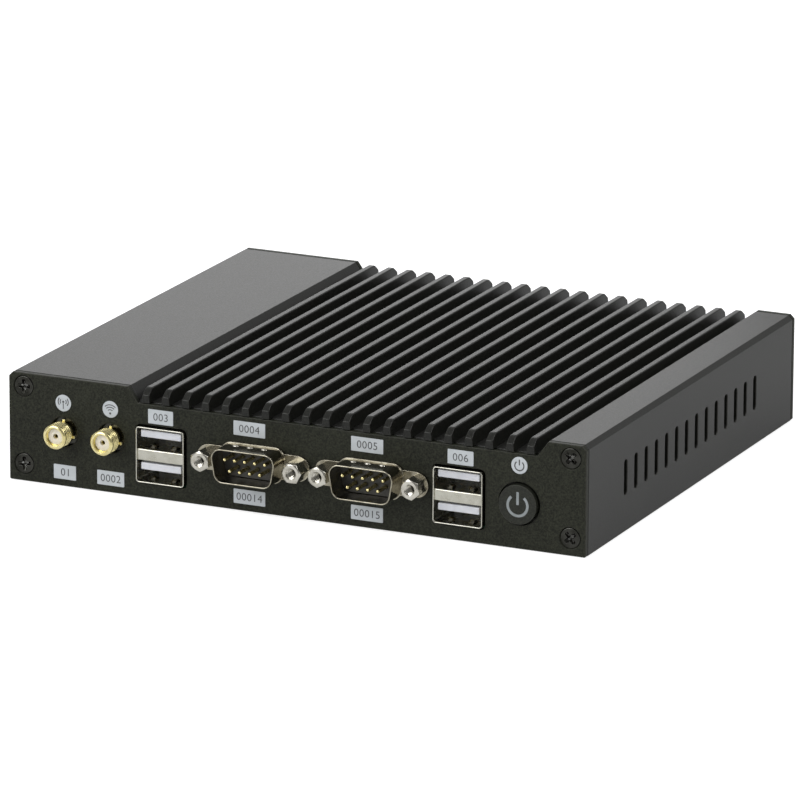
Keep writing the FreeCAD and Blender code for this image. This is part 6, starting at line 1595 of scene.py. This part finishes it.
places = [place for x in SERIAL_XS for place in pin_places(x)]
pins = [pin(x, z, PIN_BENDS[0] if z > SERIAL_Z else PIN_BENDS[1]) for x, z in places]
build("contact_pins", join(*pins), GOLD, ["serial_pins"])

# %% [markdown]
# The power button is the one piece that moves. Its cap is a turned plastic part with a soft
# edge, and the power sign is moulded into its face as a shallow groove filled with grey paint.

# %% Power button
CAP_RADIUS = 5.0
CAP_FACE, CAP_BACK = (corner[1] for corner in node_box("power_button_cap"))
CAP_EDGE = 0.16
CAP_GROOVE = 0.15
CAP_PAINT_SINK = 0.07
FLANGE_PLACES = (1.65, 2.85)
CAP_FLANGE = 5.9
CAP_SKIRT_BACK = 5.2
CAP_INNER = 3.9
CAP_FLOOR = 0.9
CAP_STEM = 1.2
SIGN_Z = BUTTON_Z - 0.2
SIGN_RADIUS = 2.62
SIGN_LINE = 0.75
SIGN_GAP = 38.0
SIGN_BAR = (0.1, 3.45)
CAP_STEPS = 96


def power_sign(shrink=0.0):
    """The open ring and the bar of the sign, as two outlines."""
    ring = arc_band(BUTTON_X, SIGN_Z, SIGN_RADIUS, SIGN_LINE, 90 + SIGN_GAP - 360, 90 - SIGN_GAP, 40)
    bar = rounded_rectangle(BUTTON_X, SIGN_Z + sum(SIGN_BAR) / 2, SIGN_LINE, SIGN_BAR[1] - SIGN_BAR[0], 0.2, 5)
    return [grow(ring, -shrink), grow(bar, -shrink)]


def button_cap():
    """Face with the sign's grooves, rounded edge, skirt, flange, hollow and stem."""
    groove_offsets, groove_depths, groove_worn = rim(0.05)
    grooves = [stack(outline, np.append(-groove_offsets, 0), CAP_FACE + np.append(groove_depths, CAP_GROOVE),
                     front_plane) for outline in power_sign()]
    offsets, depths, wear_and_edge_light = rim(CAP_EDGE, 8)
    profile = [(CAP_RADIUS, FLANGE_PLACES[0]), (CAP_FLANGE, FLANGE_PLACES[0]), (CAP_FLANGE, FLANGE_PLACES[1]),
               (CAP_RADIUS, FLANGE_PLACES[1]), (CAP_RADIUS, CAP_SKIRT_BACK), (CAP_INNER, CAP_SKIRT_BACK),
               (CAP_INNER, CAP_FLOOR), (CAP_STEM, CAP_FLOOR), (CAP_STEM, CAP_BACK)]
    radii, places = np.transpose(profile)
    body = lathe(BUTTON_X, BUTTON_Z, np.append(CAP_RADIUS + offsets, radii),
                 np.append(CAP_FACE + depths, places), np.append(wear_and_edge_light, 0 * radii), CAP_STEPS,
                 close_start=False)
    face = fill([body[0][:CAP_STEPS]] + [rows[0] for rows in grooves])
    walls = [join(weave(rows, np.append(groove_worn, 0)), plug(rows[-1])) for rows in grooves]
    return join(face, body, *walls)


build("button_cap", button_cap(), BUTTON_PLASTIC, ["power_button_cap"], "power_button")
sign_paint = [slab(outline, CAP_FACE + CAP_PAINT_SINK, CAP_GROOVE - CAP_PAINT_SINK - 0.005, 0.02)
              for outline in power_sign(0.02)]
build("button_sign_paint", join(*sign_paint), ICON_PAINT, (), "power_button")

# %% [markdown]
# Eleven small labels are stuck on the front panel. They are film a tenth of a millimetre
# thick with cut edges. Plain numbers and plain strokes stand in the place of real print.

# %% Labels
LABEL_FACE = -0.1
LABEL_HEIGHT = 3.7
LABEL_LOW = 1.8
LABEL_HIGH = 19.3
LABEL_CORNER = 0.2
DISC_RADIUS = 2.15
LEFT_SERIAL_X, RIGHT_SERIAL_X = (x - 1.35 for x in SERIAL_XS)
LABELS = [(ANTENNA_XS[0] + 0.3, LABEL_LOW, 6.2, "01"), (ANTENNA_XS[1], LABEL_LOW, 7.5, "0002"),
          (DATA_XS[0], LABEL_HIGH, 6.9, "003"), (DATA_XS[1] + 0.5, LABEL_HIGH, 6.9, "006"),
          (LEFT_SERIAL_X, LABEL_HIGH, 8.65, "0004"), (LEFT_SERIAL_X, LABEL_LOW, 8.65, "00014"),
          (RIGHT_SERIAL_X, LABEL_HIGH, 8.65, "0005"), (RIGHT_SERIAL_X, LABEL_LOW, 8.65, "00015")]
DISCS = [(ANTENNA_XS[0], 21.55), (ANTENNA_XS[1], 21.55), (BUTTON_X, 21.15)]
LABEL_RIM = 0.03
INK_FACE = LABEL_FACE - 0.012
INK_THICKNESS = 0.014
PRINT_SIZE = 2.75
PRINT_SPACING = 1.06

films = [rounded_rectangle(x, low + LABEL_HEIGHT / 2, width, LABEL_HEIGHT, LABEL_CORNER)
         for x, low, width, _ in LABELS]
films += [circle(x, z, DISC_RADIUS, 48) for x, z in DISCS]
build("label_films", join(*[slab(film, LABEL_FACE, -LABEL_FACE, LABEL_RIM) for film in films]),
      LABEL_FILM, ["front_labels"])


def number_print(text, x, z):
    """A line of digits as a mesh: text as thick as ink, centred at (x, z) and stood up against the label."""
    curve = bpy.data.curves.new("digits", "FONT")
    for setting, value in (("body", text), ("size", PRINT_SIZE), ("space_character", PRINT_SPACING),
                           ("resolution_u", 4), ("extrude", INK_THICKNESS / 2)):
        setattr(curve, setting, value)
    holder = bpy.data.objects.new("digits", curve)
    mesh = bpy.data.meshes.new_from_object(holder)
    points = np.zeros(len(mesh.vertices) * 3)
    mesh.vertices.foreach_get("co", points)
    points = points.reshape(-1, 3)
    faces = [np.array([face.vertices[:]]) for face in mesh.polygons]
    bpy.data.objects.remove(holder)
    bpy.data.curves.remove(curve)
    bpy.data.meshes.remove(mesh)
    across, up, thick = (points - (points.min(axis=0) + points.max(axis=0)) / 2).T
    placed = np.stack([x + across, INK_FACE + INK_THICKNESS / 2 - thick, z + up], axis=1)
    return placed, np.zeros(len(points)), faces


def antenna_mark(x, z):
    """Two pairs of arcs either side of a dot on a mast."""
    arcs = [arc_band(x, z + 0.35, radius, 0.26, first, last, 14)
            for radius in (0.85, 1.4) for first, last in ((-40, 40), (140, 220))]
    return arcs + [circle(x, z + 0.35, 0.3, 20), rounded_rectangle(x, z - 0.75, 0.24, 1.5, 0.08, 3)]


def fan_mark(x, z):
    """Three arcs above a dot."""
    arcs = [arc_band(x, z - 1.05, radius, 0.24, 48, 132, 14) for radius in (0.95, 1.6, 2.2)]
    return arcs + [circle(x, z - 1.05, 0.3, 20)]


def power_mark(x, z):
    """An open ring with a bar."""
    return [arc_band(x, z - 0.1, 1.2, 0.32, 90 + SIGN_GAP - 360, 90 - SIGN_GAP, 28),
            rounded_rectangle(x, z + 0.75, 0.32, 1.5, 0.1, 3)]


digits = [number_print(text, x, low + LABEL_HEIGHT / 2) for x, low, _, text in LABELS]
build("label_digits", join(*digits), LABEL_INK, smooth=False)
outlines = antenna_mark(*DISCS[0]) + fan_mark(*DISCS[1]) + power_mark(*DISCS[2])
marks = [slab(outline, INK_FACE, INK_THICKNESS, 0.002) for outline in outlines]
build("label_marks", join(*marks), LABEL_INK, smooth=False)

# %% [markdown]
# The sockets on the rear panel are simple shapes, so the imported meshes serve, with their edges
# rounded by a tenth of a millimetre.

# %% Rear sockets
SOFT_NODES = ("inlet_body", "video_shell", "video_insert", "lan_shell_1", "lan_shell_2", "lan_insert_1",
              "lan_insert_2", "sound_socket")
for node in SOFT_NODES:
    soften(node, 0.1)
print("rear sockets rounded:", len(SOFT_NODES))
